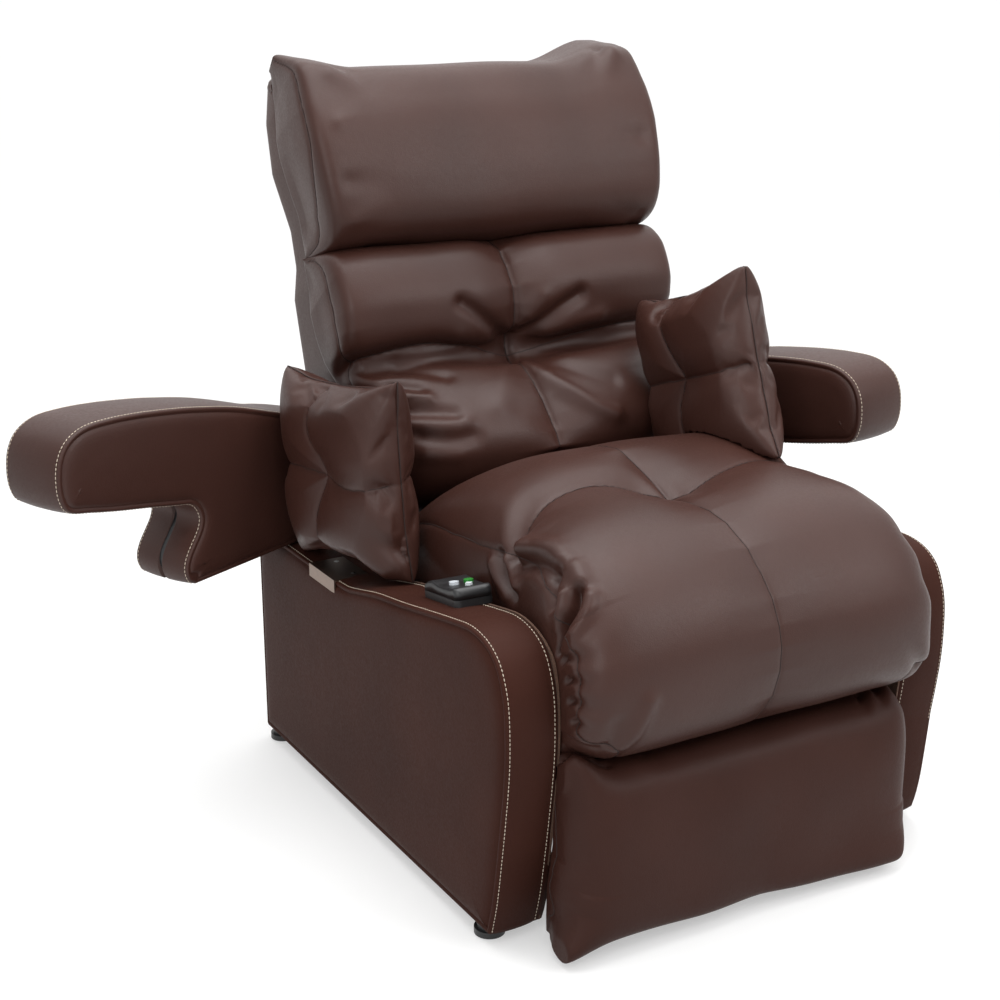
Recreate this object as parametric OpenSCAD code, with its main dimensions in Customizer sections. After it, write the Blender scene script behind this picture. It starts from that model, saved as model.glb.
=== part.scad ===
// Riser recliner: two padded side panels on a lifting steel base, a leaning back with a head
// cushion, a long pad that runs from the seat over the knee to a leg rest, two padded arms that
// swing out on upright posts, two loose pillows and a corded handset.
// The chair faces -Y, +Z is up, and left and right are as seen from the front: left is -X.
// Heights are from the floor. Depths (y) are from the foot of the side panels' front edge, and
// placed() then moves the whole chair so that the base's middle floor pad is at the origin.

/* [Side panels] */
// Width over the outer faces of the side panels
body_w = 760; // [752:1:800]
// Depth of the side panels, from the foot of the front edge to the rear edge
body_d = 780; // [760:1:840]
// Gap between the floor and the side panels
panel_lift = 20; // [14:1:30]
// Height of the side panels' highest curve
panel_h = 454; // [445:1:470]
// Height of the flat rear stretch of the side panels
panel_rear_h = 382; // [376:1:388]
// Thickness of a side panel's padded cover
panel_pad_t = 62; // [40:1:80]
// Thickness of the board behind each padded cover
panel_board_t = 18; // [12:1:24]
// Thickness of the fabric lining on the boards
lining_t = 3; // [1:0.5:5]
// Radius of the round glides under the side panels
panel_foot_r = 22; // [15:1:30]

/* [Arms] */
// Length of an arm from its post to its nose
arm_len = 548; // [500:1:600]
// Height of an arm from the underside of its block to its highest point
arm_h = 292; // [260:1:320]
// Thickness of an arm
arm_t = 109; // [90:1:125]
// Distance from an arm's inner face to its post's axis
arm_in = 42; // [36:1:50]
// Distance from the side board's inner face to the post's axis
post_from_board = 19; // [19:1:30]
// Distance from the side panel's rear edge to the post's axis
post_from_rear = 55; // [45:1:70]
// How far the left arm stands open
arm_left_open = 64.5; // [0:0.5:64.5]
// How far the right arm stands open
arm_right_open = 11; // [0:0.5:64.5]
// Radius of the post
post_r = 12; // [8:1:16]

/* [Back] */
// Depth of the back's hinge line
back_hinge_y = 600; // [580:1:620]
// Height of the back's hinge line
back_hinge_z = 410; // [405:1:425]
// Lean of the back
back_lean = 21; // [12:1:26]
// Width of the back
back_w = 540; // [500:1:548]
// Length of the back from its hinge line to its top
back_len = 745; // [700:1:780]
// Fullest thickness of the back cushion
back_fill = 165; // [120:1:180]
// Width of the head cushion
head_w = 600; // [540:1:640]
// Length of the head cushion
head_len = 308; // [260:1:330]
// Fullest thickness of the head cushion
head_fill = 152; // [110:1:170]

/* [Seat and leg rest] */
// Gap between the seat cushion and each lining
seat_side_gap = 29; // [22:1:40]
// Thickness of the seat cushion at its crown
seat_thick = 203.7; // [180:0.1:219]
// Gap between the knee cushion and each lining
leg_side_gap = 1; // [1:0.5:12]
// How far the knee stands in front of the side panels' foot
knee_out = 116; // [100:1:130]
// Height of the underside of the calf pad
calf_lift = 22; // [18:1:30]
// Height of the seam between knee cushion and calf pad
calf_top = 252; // [240:1:260]
// Depth of the leg rest's hinge line
leg_hinge_y = 40; // [36:1:44]
// Height of the leg rest's hinge line
leg_hinge_z = 350; // [346:1:354]

/* [Loose pillows] */
// Width of a pillow
pillow_w = 290; // [240:1:300]
// Height of a pillow
pillow_h = 300; // [280:1:310]
// Thickness of a pillow
pillow_t = 108; // [80:1:112]
// Lean of the right pillow
pillow_right_lean = 14.5; // [10:0.5:16]
// Lean of the left pillow
pillow_left_lean = 5.5; // [2:0.5:8]
// Turn of the left pillow, with its rear edge outwards
pillow_left_yaw = 10; // [6:1:12]

/* [Handset] */
// Width of the handset
hand_w = 58; // [50:1:62]
// Length of the handset
hand_l = 112; // [100:1:125]
// Height of the handset
hand_h = 26; // [22:1:30]
// Diameter of the handset's cord
cord_d = 6; // [4:0.5:8]

/* [Steel frame] */
// Width of the square tube
rail = 30; // [25:1:32]
// Wall of the square tube
rail_wall = 2; // [1.5:0.5:3]
// Gap behind the base, to the panels' rear edge
base_rear_gap = 65; // [56:1:95]
// Depth of the base's front edge
base_front_y = 25; // [25:1:30]
// Half the gap between the base's side rails
base_rail_x = 205; // [190:1:206]
// Height of the floor glides and of the middle pad
glide_h = 10; // [6:1:12]
// Height of the seat frame's underside
seat_frame_z = 345; // [340:1:348]
// Radius of the pivot pins
pin_r = 6; // [5:0.5:8]
// Radius of the round cross tubes
cross_r = 12; // [10:1:13]

/* [Hidden] */
$fn = 48;

// Clearances
run = 0.05;
clear = 0.3;
soft_gap = 2;
cut = 1;

// Steel thicknesses and the stack of plates from the middle outwards
ear_t = 6;
link_t = 8;
plate_gap = 2;
base_ear_x = base_rail_x + rail - ear_t;
lift_link_x = base_rail_x + rail + plate_gap;
carriage_plate_x = lift_link_x + link_t + plate_gap;
seat_rail_in = 22;
seat_rail_x = carriage_plate_x - seat_rail_in;
seat_ear_x = seat_rail_x + rail;
leg_arm_x = seat_ear_x + ear_t + plate_gap;
back_lug_x = seat_ear_x - plate_gap - ear_t;
pin_head_r = 10;
pin_head_t = 4;
boss_r = 16;

// Places that follow from the driving sizes
board_x = body_w / 2 - panel_pad_t - panel_board_t;
lining_x = board_x - lining_t;
post_x = board_x + post_from_board;
post_y = body_d - post_from_rear;
front_rail_y = base_front_y + rail / 2;
base_top_z = glide_h + rail;
seat_w = 2 * (lining_x - seat_side_gap);
base_d = body_d - base_rear_gap - base_front_y;
leg_w = 2 * (lining_x - leg_side_gap);

// Depths of the pivots
lift_pivot_y = 250;
lift_top_y = 600;
lift_cross_y = 360;
leg_motor_eye_y = 440;
leg_motor_tube_y = 466;
leg_rod_eye_y = 25;
leg_cross_y = 3;
back_motor_eye_y = 275;
back_motor_tube_y = 250;
back_rod_eye_y = 590;

// Heights of the pivots above the base, or how far they are below the frame or hinge above
lift_pivot_up = 20;
lift_top_up = 50;
lift_cross_up = 29;
lift_eye_up = 74;
lift_motor_up = 28;
leg_motor_eye_down = 115;
leg_motor_tube_down = 142;
leg_rod_eye_down = 120;
leg_cross_down = 86;
leg_cross_low_down = 250;
back_motor_eye_down = 140;
back_motor_tube_down = 168;
back_rod_eye_down = 130;

// Pivots as [y, z]
lift_pivot = [lift_pivot_y, base_top_z + lift_pivot_up];
lift_top = [lift_top_y, base_top_z + lift_top_up];
lift_cross = [lift_cross_y, base_top_z + lift_cross_up];
lift_eye = [lift_cross_y, base_top_z + lift_eye_up];
lift_motor_eye = [base_front_y + base_d - rail / 2, base_top_z + lift_motor_up];
leg_hinge = [leg_hinge_y, leg_hinge_z];
leg_motor_eye = [leg_motor_eye_y, seat_frame_z - leg_motor_eye_down];
leg_motor_tube = [leg_motor_tube_y, seat_frame_z - leg_motor_tube_down];
leg_rod_eye = [leg_rod_eye_y, leg_hinge_z - leg_rod_eye_down];
leg_cross = [leg_cross_y, leg_hinge_z - leg_cross_down];
leg_cross_low = [leg_cross_y, leg_hinge_z - leg_cross_low_down];
back_hinge = [back_hinge_y, back_hinge_z];
back_motor_eye = [back_motor_eye_y, seat_frame_z - back_motor_eye_down];
back_motor_tube = [back_motor_tube_y, seat_frame_z - back_motor_tube_down];
back_rod_eye = [back_rod_eye_y, back_hinge_z - back_rod_eye_down];
side_motor_x = 110;

// Actuators
eye_r = 12;
eye_w = 14;
eye_gap = 2;
motor_ear_t = 6;
motor_tube_r = 18;
motor_tube_from = 16;
motor_can_r = 20;
motor_can_l = 95;
motor_can_gap = 8;
rod_r = 9;
stub_r = 5;
lift_motor_l = 235;
leg_motor_l = 270;
back_motor_l = 190;
rod_gap = 20;
rod_start = motor_tube_from + 2 * eye_r + rod_gap;
back_rod_travel = 70;

// Smooth curves through a few chosen points
function spline_at(p, i, t) =
    let (
        last = len(p) - 1,
        a = p[max(i - 1, 0)],
        b = p[i],
        c = p[min(i + 1, last)],
        d = p[min(i + 2, last)]
    )
    ((2 * b) + (c - a) * t + (2 * a - 5 * b + 4 * c - d) * t * t
        + (3 * b - a - 3 * c + d) * t * t * t) / 2;
function spline(p, steps) = concat(
    [for (i = [0:len(p) - 2]) for (k = [0:steps - 1]) spline_at(p, i, k / steps)],
    [p[len(p) - 1]]
);
function spline_share(p, share) =
    let (place = share * (len(p) - 1), i = min(floor(place), len(p) - 2))
    spline_at(p, i, place - i);
function sized(shares, wide, high) = [for (s = shares) [s[0] * wide, s[1] * high]];
function mix(a, b, t) = a + (b - a) * t;
function swell(v, power) = sqrt(max(0, 1 - pow(abs(v), power)));
function bell(distance, reach) = exp(-pow(distance / reach, 2));

module placed() {
    translate([0, -front_rail_y, 0]) children();
}

module both_sides() {
    children();
    mirror([1, 0, 0]) children();
}

// Extrudes a (y, z) outline from x0 to x1
module across(x0, x1) {
    translate([x0, 0, 0]) rotate([90, 0, 90]) linear_extrude(x1 - x0) children();
}

module rod_across(x0, x1, at, r) {
    translate([x0, at[0], at[1]]) rotate([0, 90, 0]) cylinder(h = x1 - x0, r = r);
}

// Flat bar between two pivots, with round ends
module bar_outline(a, b, half_wide) {
    translate(a) rotate(atan2(b[1] - a[1], b[0] - a[0])) {
        translate([0, -half_wide]) square([norm(b - a), 2 * half_wide]);
        circle(r = half_wide);
        translate([norm(b - a), 0]) circle(r = half_wide);
    }
}

module square_tube_x(x0, x1, y, z) {
    difference() {
        translate([x0, y, z]) cube([x1 - x0, rail, rail]);
        translate([x0 - cut, y + rail_wall, z + rail_wall])
            cube([x1 - x0 + 2 * cut, rail - 2 * rail_wall, rail - 2 * rail_wall]);
    }
}

module square_tube_y(x, y0, y1, z) {
    difference() {
        translate([x, y0, z]) cube([rail, y1 - y0, rail]);
        translate([x + rail_wall, y0 - cut, z + rail_wall])
            cube([rail - 2 * rail_wall, y1 - y0 + 2 * cut, rail - 2 * rail_wall]);
    }
}

// Pivot pin with a head at each end, through plates from x0 to x1
module pivot_pin(x0, x1, at) {
    rod_across(x0 - clear - pin_head_t, x1 + clear + pin_head_t, at, pin_r);
    rod_across(x0 - clear - pin_head_t, x0 - clear, at, pin_head_r);
    rod_across(x1 + clear, x1 + clear + pin_head_t, at, pin_head_r);
}

// Pair of ears with pin stubs, each side of an actuator's eye
module eye_ears(at, foot, half_wide) {
    for (side = [-1, 1])
        translate([side * (eye_w / 2 + eye_gap + motor_ear_t / 2), 0, 0])
            across(-motor_ear_t / 2, motor_ear_t / 2) bar_outline(at, foot, half_wide);
}

// Actuator housing: eye, tube, gearbox and motor can, from the eye towards +Y
module actuator_housing(length) {
    difference() {
        union() {
            rotate([0, 90, 0]) cylinder(h = eye_w, r = eye_r, center = true);
            translate([-eye_w / 2, 0, -eye_r / 2])
                cube([eye_w, motor_tube_from + eye_r, eye_r]);
            translate([0, motor_tube_from, 0]) rotate([-90, 0, 0])
                cylinder(h = length - motor_tube_from, r = motor_tube_r);
            translate([0, motor_tube_from, -motor_can_r])
                cube([motor_can_gap + motor_tube_r + 2 * motor_can_r, 2 * eye_r, 2 * motor_can_r]);
            translate([motor_can_gap + motor_tube_r + motor_can_r, motor_tube_from + eye_r, 0])
                rotate([-90, 0, 0]) cylinder(h = motor_can_l, r = motor_can_r);
        }
        rotate([0, 90, 0]) cylinder(h = eye_w + 2 * cut, r = stub_r + run, center = true);
        translate([0, motor_tube_from + 2 * eye_r + rail_wall, 0]) rotate([-90, 0, 0])
            cylinder(h = length, r = rod_r + run);
    }
}

// Actuator rod from inside the housing to its own eye
module actuator_rod(from, length) {
    translate([0, from, 0]) rotate([-90, 0, 0]) cylinder(h = length - from, r = rod_r);
    translate([0, length, 0]) rotate([0, 90, 0]) cylinder(h = eye_w, r = eye_r, center = true);
}

// Puts an actuator drawn along +Y between two pivots
module between(a, b, x) {
    translate([x, a[0], a[1]]) rotate([atan2(b[1] - a[1], b[0] - a[0]), 0, 0]) children();
}

// Closed solid between two surfaces given as functions of (u, v), both from -1 to 1
module padded(front, back, n_long, n_wide) {
    long_stations = [for (i = [0:n_long]) 2 * i / n_long - 1];
    wide_stations = [for (j = [0:n_wide]) sin(90 * (2 * j / n_wide - 1))];
    count = 2 * (n_long + 1);
    points = [
        for (v = wide_stations)
            for (i = [0:count - 1])
                i <= n_long ? front(long_stations[i], v)
                    : back(long_stations[count - 1 - i], v)
    ];
    last = n_wide * count;
    skin = [
        for (j = [0:n_wide - 1])
            for (i = [0:count - 1])
                let (a = j * count + i, b = j * count + (i + 1) % count)
                    each [[a, b, b + count], [a, b + count, a + count]]
    ];
    ends = [
        for (i = [0:n_long - 1])
            let (a = i, b = i + 1, c = count - 2 - i, d = count - 1 - i)
                each [
                    [a, c, b], [a, d, c],
                    [last + a, last + b, last + c], [last + a, last + c, last + d]
                ]
    ];
    polyhedron(points, concat(skin, ends), convexity = 6);
}

// Steel base that stands on the floor

module base_frame() {
    color("dimgray") placed() {
        rear_y = base_front_y + base_d;
        both_sides() {
            square_tube_y(base_rail_x, base_front_y, rear_y, glide_h);
            across(base_ear_x, base_ear_x + ear_t) difference() {
                union() {
                    translate(lift_pivot) circle(r = boss_r);
                    translate([lift_pivot[0] - boss_r, base_top_z])
                        square([2 * boss_r, lift_pivot[1] - base_top_z]);
                }
                translate(lift_pivot) circle(r = pin_r + run);
            }
        }
        square_tube_x(-base_rail_x, base_rail_x, base_front_y, glide_h);
        square_tube_x(-base_rail_x, base_rail_x, rear_y - rail, glide_h);
        eye_ears(lift_motor_eye, [lift_motor_eye[0], base_top_z - rail_wall], eye_r);
        rod_across(-eye_w, eye_w, lift_motor_eye, stub_r);
    }
}

module floor_glides() {
    color("black") placed() {
        glide_r = 2 * rail / 3;
        both_sides()
            for (y = [base_front_y + rail, base_front_y + base_d - rail])
                translate([base_rail_x + rail / 2, y, 0])
                    cylinder(h = glide_h, r = glide_r);
        translate([0, front_rail_y, 0]) cylinder(h = glide_h, r = rail / 2);
    }
}

module lift_pivot_pins() {
    color("silver") placed() both_sides()
        pivot_pin(base_ear_x, lift_link_x + link_t, lift_pivot);
}

// Arms that lift the chair, with their cross tube and the ears the lift rod pushes

module lift_arms() {
    color("gray") placed() {
        both_sides() across(lift_link_x, lift_link_x + link_t) difference() {
            bar_outline(lift_pivot, lift_top, boss_r);
            translate(lift_pivot) circle(r = pin_r + run);
            translate(lift_top) circle(r = pin_r + run);
        }
        rod_across(-lift_link_x, lift_link_x, lift_cross, cross_r);
        eye_ears(lift_eye, lift_cross, eye_r - eye_gap);
    }
}

module lift_top_pins() {
    color("silver") placed() both_sides()
        pivot_pin(lift_link_x, carriage_plate_x + ear_t, lift_top);
}

module lift_motor() {
    color("darkgray") placed()
        between(lift_motor_eye, lift_eye, 0) actuator_housing(lift_motor_l);
}

module lift_rod() {
    color("silver") placed()
        between(lift_motor_eye, lift_eye, 0)
            actuator_rod(rod_start, norm(lift_eye - lift_motor_eye));
}

// Carriage: what the lift arms raise

module carriage_frame() {
    plate = [
        lift_top + [-boss_r, -boss_r],
        lift_top + [boss_r, -boss_r],
        [lift_top[0] + 2 * boss_r, seat_frame_z],
        [back_motor_tube[0] - 2 * boss_r, seat_frame_z],
        [back_motor_tube[0] - boss_r, back_motor_tube[1] - boss_r],
        leg_motor_tube + [boss_r, -boss_r]
    ];
    color("gray") placed() {
        both_sides() across(carriage_plate_x, carriage_plate_x + ear_t) difference() {
            polygon(plate);
            translate(lift_top) circle(r = pin_r + run);
        }
        for (tube = [back_motor_tube, leg_motor_tube])
            rod_across(-carriage_plate_x, carriage_plate_x, tube, cross_r);
        translate([side_motor_x, 0, 0]) {
            eye_ears(back_motor_eye, back_motor_tube, eye_r - eye_gap);
            rod_across(-eye_w, eye_w, back_motor_eye, stub_r);
        }
        translate([-side_motor_x, 0, 0]) {
            eye_ears(leg_motor_eye, leg_motor_tube, eye_r - eye_gap);
            rod_across(-eye_w, eye_w, leg_motor_eye, stub_r);
        }
    }
}

seat_front_rail_in = 15;
seat_rail_past = 30;
seat_front_rail_y = leg_hinge_y + seat_front_rail_in;
seat_rear_rail_y = 455;
seat_rail_end_y = back_hinge_y + seat_rail_past;

module seat_frame() {
    top_z = seat_frame_z + rail;
    color("gray") placed() {
        both_sides() {
            square_tube_y(seat_rail_x, seat_front_rail_y, seat_rail_end_y, seat_frame_z);
            across(seat_ear_x, seat_ear_x + ear_t) difference() {
                bar_outline(leg_hinge, [leg_hinge[0] + rail + boss_r, leg_hinge[1]], boss_r);
                translate(leg_hinge) circle(r = pin_r + run);
            }
            across(seat_ear_x, seat_ear_x + ear_t) difference() {
                bar_outline(back_hinge, [back_hinge[0], seat_frame_z + boss_r], boss_r);
                translate(back_hinge) circle(r = pin_r + run);
            }
        }
        for (y = [seat_front_rail_y, seat_rear_rail_y])
            square_tube_x(-seat_rail_x, seat_rail_x, y, seat_frame_z);
    }
}

webbing_w = 50;
webbing_t = 2.5;

module seat_webbing() {
    color("black") placed() {
        z = seat_frame_z + rail;
        first_y = seat_front_rail_y;
        long = seat_rear_rail_y + rail - first_y;
        for (i = [-2:2])
            translate([i * webbing_w * 8 / 5 - webbing_w / 2, first_y, z])
                cube([webbing_w, long, webbing_t]);
        for (i = [1:4])
            translate([-seat_rail_x, first_y + long * i / 5 - webbing_w / 2, z + webbing_t])
                cube([2 * seat_rail_x, webbing_w, webbing_t]);
    }
}

// Side panels

// Outline of a side panel: chosen points of the front curve as shares of depth and height
panel_curve_shares = [
    [0.010, 0.044], [-0.028, 0.340], [-0.050, 0.670], [-0.040, 0.880], [-0.006, 0.962],
    [0.065, 1.000], [0.150, 0.984], [0.326, 0.925], [0.430, 0.900], [0.513, 0.868]
];
panel_flat_from_share = 0.560;

module panel_outline() {
    curve = spline(
        [for (s = panel_curve_shares) [s[0] * body_d, max(panel_lift, s[1] * panel_h)]], 5
    );
    polygon(concat(
        curve,
        [
            [panel_flat_from_share * body_d, panel_rear_h], [body_d, panel_rear_h],
            [body_d, panel_lift]
        ]
    ));
}

module side_board() {
    placed() across(board_x, board_x + panel_board_t) panel_outline();
}

module side_panel() {
    placed() across(board_x + panel_board_t, body_w / 2) panel_outline();
}

module side_lining() {
    placed() across(lining_x, board_x) panel_outline();
}

module side_board_right() { color("burlywood") side_board(); }
module side_board_left() { color("burlywood") mirror([1, 0, 0]) side_board(); }
module side_panel_right() { color("saddlebrown") side_panel(); }
module side_panel_left() { color("saddlebrown") mirror([1, 0, 0]) side_panel(); }
module side_lining_right() { color("sienna") side_lining(); }
module side_lining_left() { color("sienna") mirror([1, 0, 0]) side_lining(); }

module panel_feet() {
    foot_h = panel_lift - soft_gap;
    foot_x = body_w / 2 - panel_foot_r;
    color("black") placed() both_sides()
        for (y = [panel_foot_r + panel_lift, body_d - panel_foot_r])
            translate([foot_x, y, soft_gap]) {
                cylinder(h = foot_h / 2, r = panel_foot_r);
                translate([0, 0, foot_h / 2]) cylinder(h = foot_h / 2, r = panel_foot_r * 4 / 5);
            }
}

bracket_shares = [0.14, 0.62];

module panel_brackets() {
    color("gray") placed() both_sides()
        for (share = bracket_shares)
            translate([seat_ear_x, share * body_d, seat_frame_z + rail_wall])
                difference() {
                    cube([lining_x - seat_ear_x, rail + boss_r, rail - 2 * rail_wall]);
                    translate([-cut, rail_wall, rail_wall])
                        cube([lining_x - seat_ear_x + 2 * cut, rail + boss_r, rail]);
                }
}

rear_panel_t = 12;
rear_panel_top = 360;
inlet_x = 150;
inlet_z = 120;
inlet_w = 50;
inlet_h = 34;

module rear_panel() {
    color("saddlebrown") placed() difference() {
        translate([-lining_x, body_d - rear_panel_t, panel_lift + soft_gap])
            cube([2 * lining_x, rear_panel_t, rear_panel_top - panel_lift - soft_gap]);
        translate([inlet_x - inlet_w / 2, body_d - rear_panel_t - cut, inlet_z - inlet_h / 2])
            cube([inlet_w, rear_panel_t + 2 * cut, inlet_h]);
    }
}

inlet_wall = 4;
inlet_deep = 26;
inlet_pin_r = 2;

module power_inlet() {
    socket_w = inlet_w - 2 * inlet_wall;
    socket_h = inlet_h - 2 * inlet_wall;
    color("black") placed() translate([inlet_x, body_d, inlet_z]) {
        difference() {
            translate([-inlet_w / 2, -inlet_deep, -inlet_h / 2])
                cube([inlet_w, inlet_deep, inlet_h]);
            translate([-socket_w / 2, inlet_wall - inlet_deep, -socket_h / 2])
                cube([socket_w, inlet_deep, socket_h]);
        }
        for (side = [-1, 1])
            translate([side * socket_w / 4, inlet_wall - inlet_deep, 0]) rotate([-90, 0, 0])
                cylinder(h = inlet_deep / 2, r = inlet_pin_r);
    }
}

box_l = 110;
box_w = 76;
box_h = 34;
box_x = 22;
bush_in = 21;
box_y = leg_motor_tube[0] - 2 * box_w / 3;
box_z = leg_motor_tube[1] + cross_r;

box_bush = [box_x - box_l / 2 + bush_in, box_y + box_w / 3, box_z - inlet_wall];

module control_box() {
    color("black") placed() {
        translate([box_x - box_l / 2, box_y, box_z]) cube([box_l, box_w, box_h]);
        translate(box_bush) cylinder(h = inlet_wall, r = cord_d);
    }
}

// Seat cushion: tops of its middle and side sections as [y, z], from the rear to the front

seat_base_z = seat_frame_z + rail + 2 * webbing_t + clear;
seat_h = seat_base_z + seat_thick;
seat_front_in = 22;
seat_front_y = leg_hinge_y + seat_front_in;
seat_rear_y = 545;
seat_top_shares = [
    [1.000, 0.270], [0.930, 0.370], [0.840, 0.550], [0.740, 0.850], [0.600, 0.965],
    [0.450, 1.000], [0.280, 0.965], [0.135, 0.930], [0.000, 0.865]
];
seat_side_shares = [
    [1.000, 0.240], [0.930, 0.300], [0.840, 0.370], [0.740, 0.420], [0.600, 0.470],
    [0.450, 0.510], [0.280, 0.545], [0.135, 0.575], [0.000, 0.585]
];
seat_tuft_y = 136;
seat_tuft_deep = 26;
seat_tuft_reach = 62;
seat_power = 2.1;
seat_draw_share = 0.03;

function seat_place(shares) = [
    for (s = shares)
        [mix(seat_front_y, seat_rear_y, s[0]), mix(seat_base_z, seat_h, s[1])]
];

module seat_cushion() {
    top = seat_place(seat_top_shares);
    side = seat_place(seat_side_shares);
    front = function (u, v)
        let (
            share = (u + 1) / 2,
            p = mix(spline_share(side, share), spline_share(top, share), swell(v, seat_power)),
            x = seat_w / 2 * v * (1 - seat_draw_share * (1 - u * u)),
            dip = seat_tuft_deep * bell(p[0] - seat_tuft_y, seat_tuft_reach)
                * bell(x, seat_tuft_reach)
        )
        [x, p[0], p[1] - dip];
    back = function (u, v)
        let (tuck = seat_draw_share * (1 + abs(v)))
        [
            seat_w / 2 * v * (1 - tuck),
            mix(seat_rear_y, seat_front_y, (u + 1) / 2),
            seat_base_z
        ];
    color("saddlebrown") placed() padded(front, back, 18, 14);
}

// Knee cushion: the part of the long pad that bends over the leg rest's hinge.
// Shares run from the seat's front edge out to the knee and from calf_top up to seat_h.
knee_from_y = seat_front_y - clear;
knee_outer_shares = [
    [0.000, 0.900], [0.220, 0.905], [0.460, 0.845], [0.700, 0.735], [0.880, 0.600],
    [0.985, 0.470], [1.000, 0.330], [0.950, 0.200], [0.830, 0.080], [0.640, 0.010]
];
knee_side_shares = [
    [0.000, 0.690], [0.200, 0.700], [0.400, 0.670], [0.590, 0.590], [0.730, 0.490],
    [0.800, 0.390], [0.820, 0.290], [0.800, 0.190], [0.740, 0.100], [0.640, 0.012]
];
knee_inner_shares = [
    [0.000, 0.410], [0.120, 0.410], [0.260, 0.405], [0.360, 0.390], [0.440, 0.350],
    [0.470, 0.300], [0.480, 0.240], [0.480, 0.160], [0.480, 0.080], [0.480, 0.010]
];
knee_power = 2.4;

function knee_place(shares) = [
    for (s = shares)
        [mix(knee_from_y, -knee_out, s[0]), mix(calf_top + soft_gap, seat_h, s[1])]
];

module knee_cushion() {
    outer = knee_place(knee_outer_shares);
    side = knee_place(knee_side_shares);
    inner = knee_place(knee_inner_shares);
    wide_from = seat_w / 2;
    front = function (u, v)
        let (
            share = (u + 1) / 2,
            p = mix(spline_share(side, share), spline_share(outer, share), swell(v, knee_power)),
            half = mix(wide_from, leg_w / 2, min(1, share * 2))
        )
        [half * v, p[0], p[1]];
    back = function (u, v)
        let (
            share = (u + 1) / 2,
            p = spline_share(inner, share),
            half = mix(wide_from, leg_w / 2, min(1, share * 2)) * (1 - seat_draw_share)
        )
        [half * v, p[0], p[1]];
    color("saddlebrown") placed() padded(front, back, 20, 12);
}

// Leg rest

leg_board_t = 12;
leg_board_y = -22;
leg_board_w = 550;
leg_board_top = 285;

module legrest_frame() {
    arm = [
        [leg_board_y + leg_board_t, leg_board_top],
        leg_hinge + [-boss_r, 0],
        leg_hinge + [0, -boss_r],
        [leg_board_y + leg_board_t + rail, leg_board_top - rail],
        [leg_board_y + leg_board_t + rail, leg_cross_low[1] - boss_r],
        [leg_board_y + leg_board_t, leg_cross_low[1] - boss_r]
    ];
    color("gray") placed() {
        both_sides() across(leg_arm_x, leg_arm_x + ear_t) difference() {
            union() {
                polygon(arm);
                translate(leg_hinge) circle(r = boss_r);
            }
            translate(leg_hinge) circle(r = pin_r + run);
        }
        for (tube = [leg_cross, leg_cross_low])
            rod_across(-leg_arm_x, leg_arm_x, tube, cross_r - run);
        translate([-side_motor_x, 0, 0]) eye_ears(leg_rod_eye, leg_cross, eye_r - eye_gap);
    }
}

module legrest_board() {
    color("burlywood") placed()
        translate([-leg_board_w / 2, leg_board_y, 2 * calf_lift])
            cube([leg_board_w, leg_board_t, leg_board_top - 2 * calf_lift]);
}

// Front of the calf pad as [share of its thickness, share of its height]
calf_t = 92;
calf_front_shares = [
    [0.30, 0.000], [0.78, 0.090], [0.98, 0.280], [1.00, 0.500], [0.95, 0.750], [0.70, 0.930],
    [0.40, 1.000]
];
calf_power = 4;
calf_side_share = 0.42;
calf_draw_share = 0.015;

module calf_pad() {
    high = calf_top - calf_lift;
    rear_y = leg_board_y - clear;
    front = function (u, v)
        let (
            p = spline_share(calf_front_shares, (u + 1) / 2),
            full = mix(calf_side_share, 1, swell(v, calf_power))
        )
        [
            leg_w / 2 * v * (1 - calf_draw_share * (1 - u * u)),
            rear_y - calf_t * p[0] * full,
            calf_lift + high * p[1]
        ];
    back = function (u, v)
        [leg_w / 2 * v * (1 - calf_draw_share), rear_y, calf_lift + high * (u + 1) / 2];
    color("saddlebrown") placed() padded(front, back, 14, 12);
}

module leg_hinge_pins() {
    color("silver") placed() both_sides()
        pivot_pin(seat_ear_x, leg_arm_x + ear_t, leg_hinge);
}

module leg_motor() {
    color("darkgray") placed()
        between(leg_motor_eye, leg_rod_eye, -side_motor_x) actuator_housing(leg_motor_l);
}

module leg_rod() {
    color("silver") placed()
        between(leg_motor_eye, leg_rod_eye, -side_motor_x)
            actuator_rod(rod_start, norm(leg_rod_eye - leg_motor_eye));
}

// Back, drawn upright from the hinge line: -Y is forwards, +Z is up the back

module leaning() {
    placed() translate([0, back_hinge[0], back_hinge[1]]) rotate([-back_lean, 0, 0]) children();
}

shell_from = 20;
shell_wall = 8;
shell_lip = 30;
shell_low_t = 123;
shell_top_t = 14;
back_tube = 25;
back_tube_x = seat_ear_x - plate_gap - back_tube - link_t / 2;
back_pad_from = shell_lip + clear;

module back_shell() {
    side = [
        [-shell_lip, shell_from], [shell_low_t, shell_from], [shell_top_t, back_len],
        [-shell_lip, back_len]
    ];
    color("saddlebrown") leaning() difference() {
        across(-back_w / 2, back_w / 2) polygon(side);
        translate([shell_wall - back_w / 2, -shell_lip - cut, shell_from - cut])
            cube([
                back_w - 2 * shell_wall, shell_lip + cut,
                back_len - shell_from - shell_wall + cut
            ]);
    }
}

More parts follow.
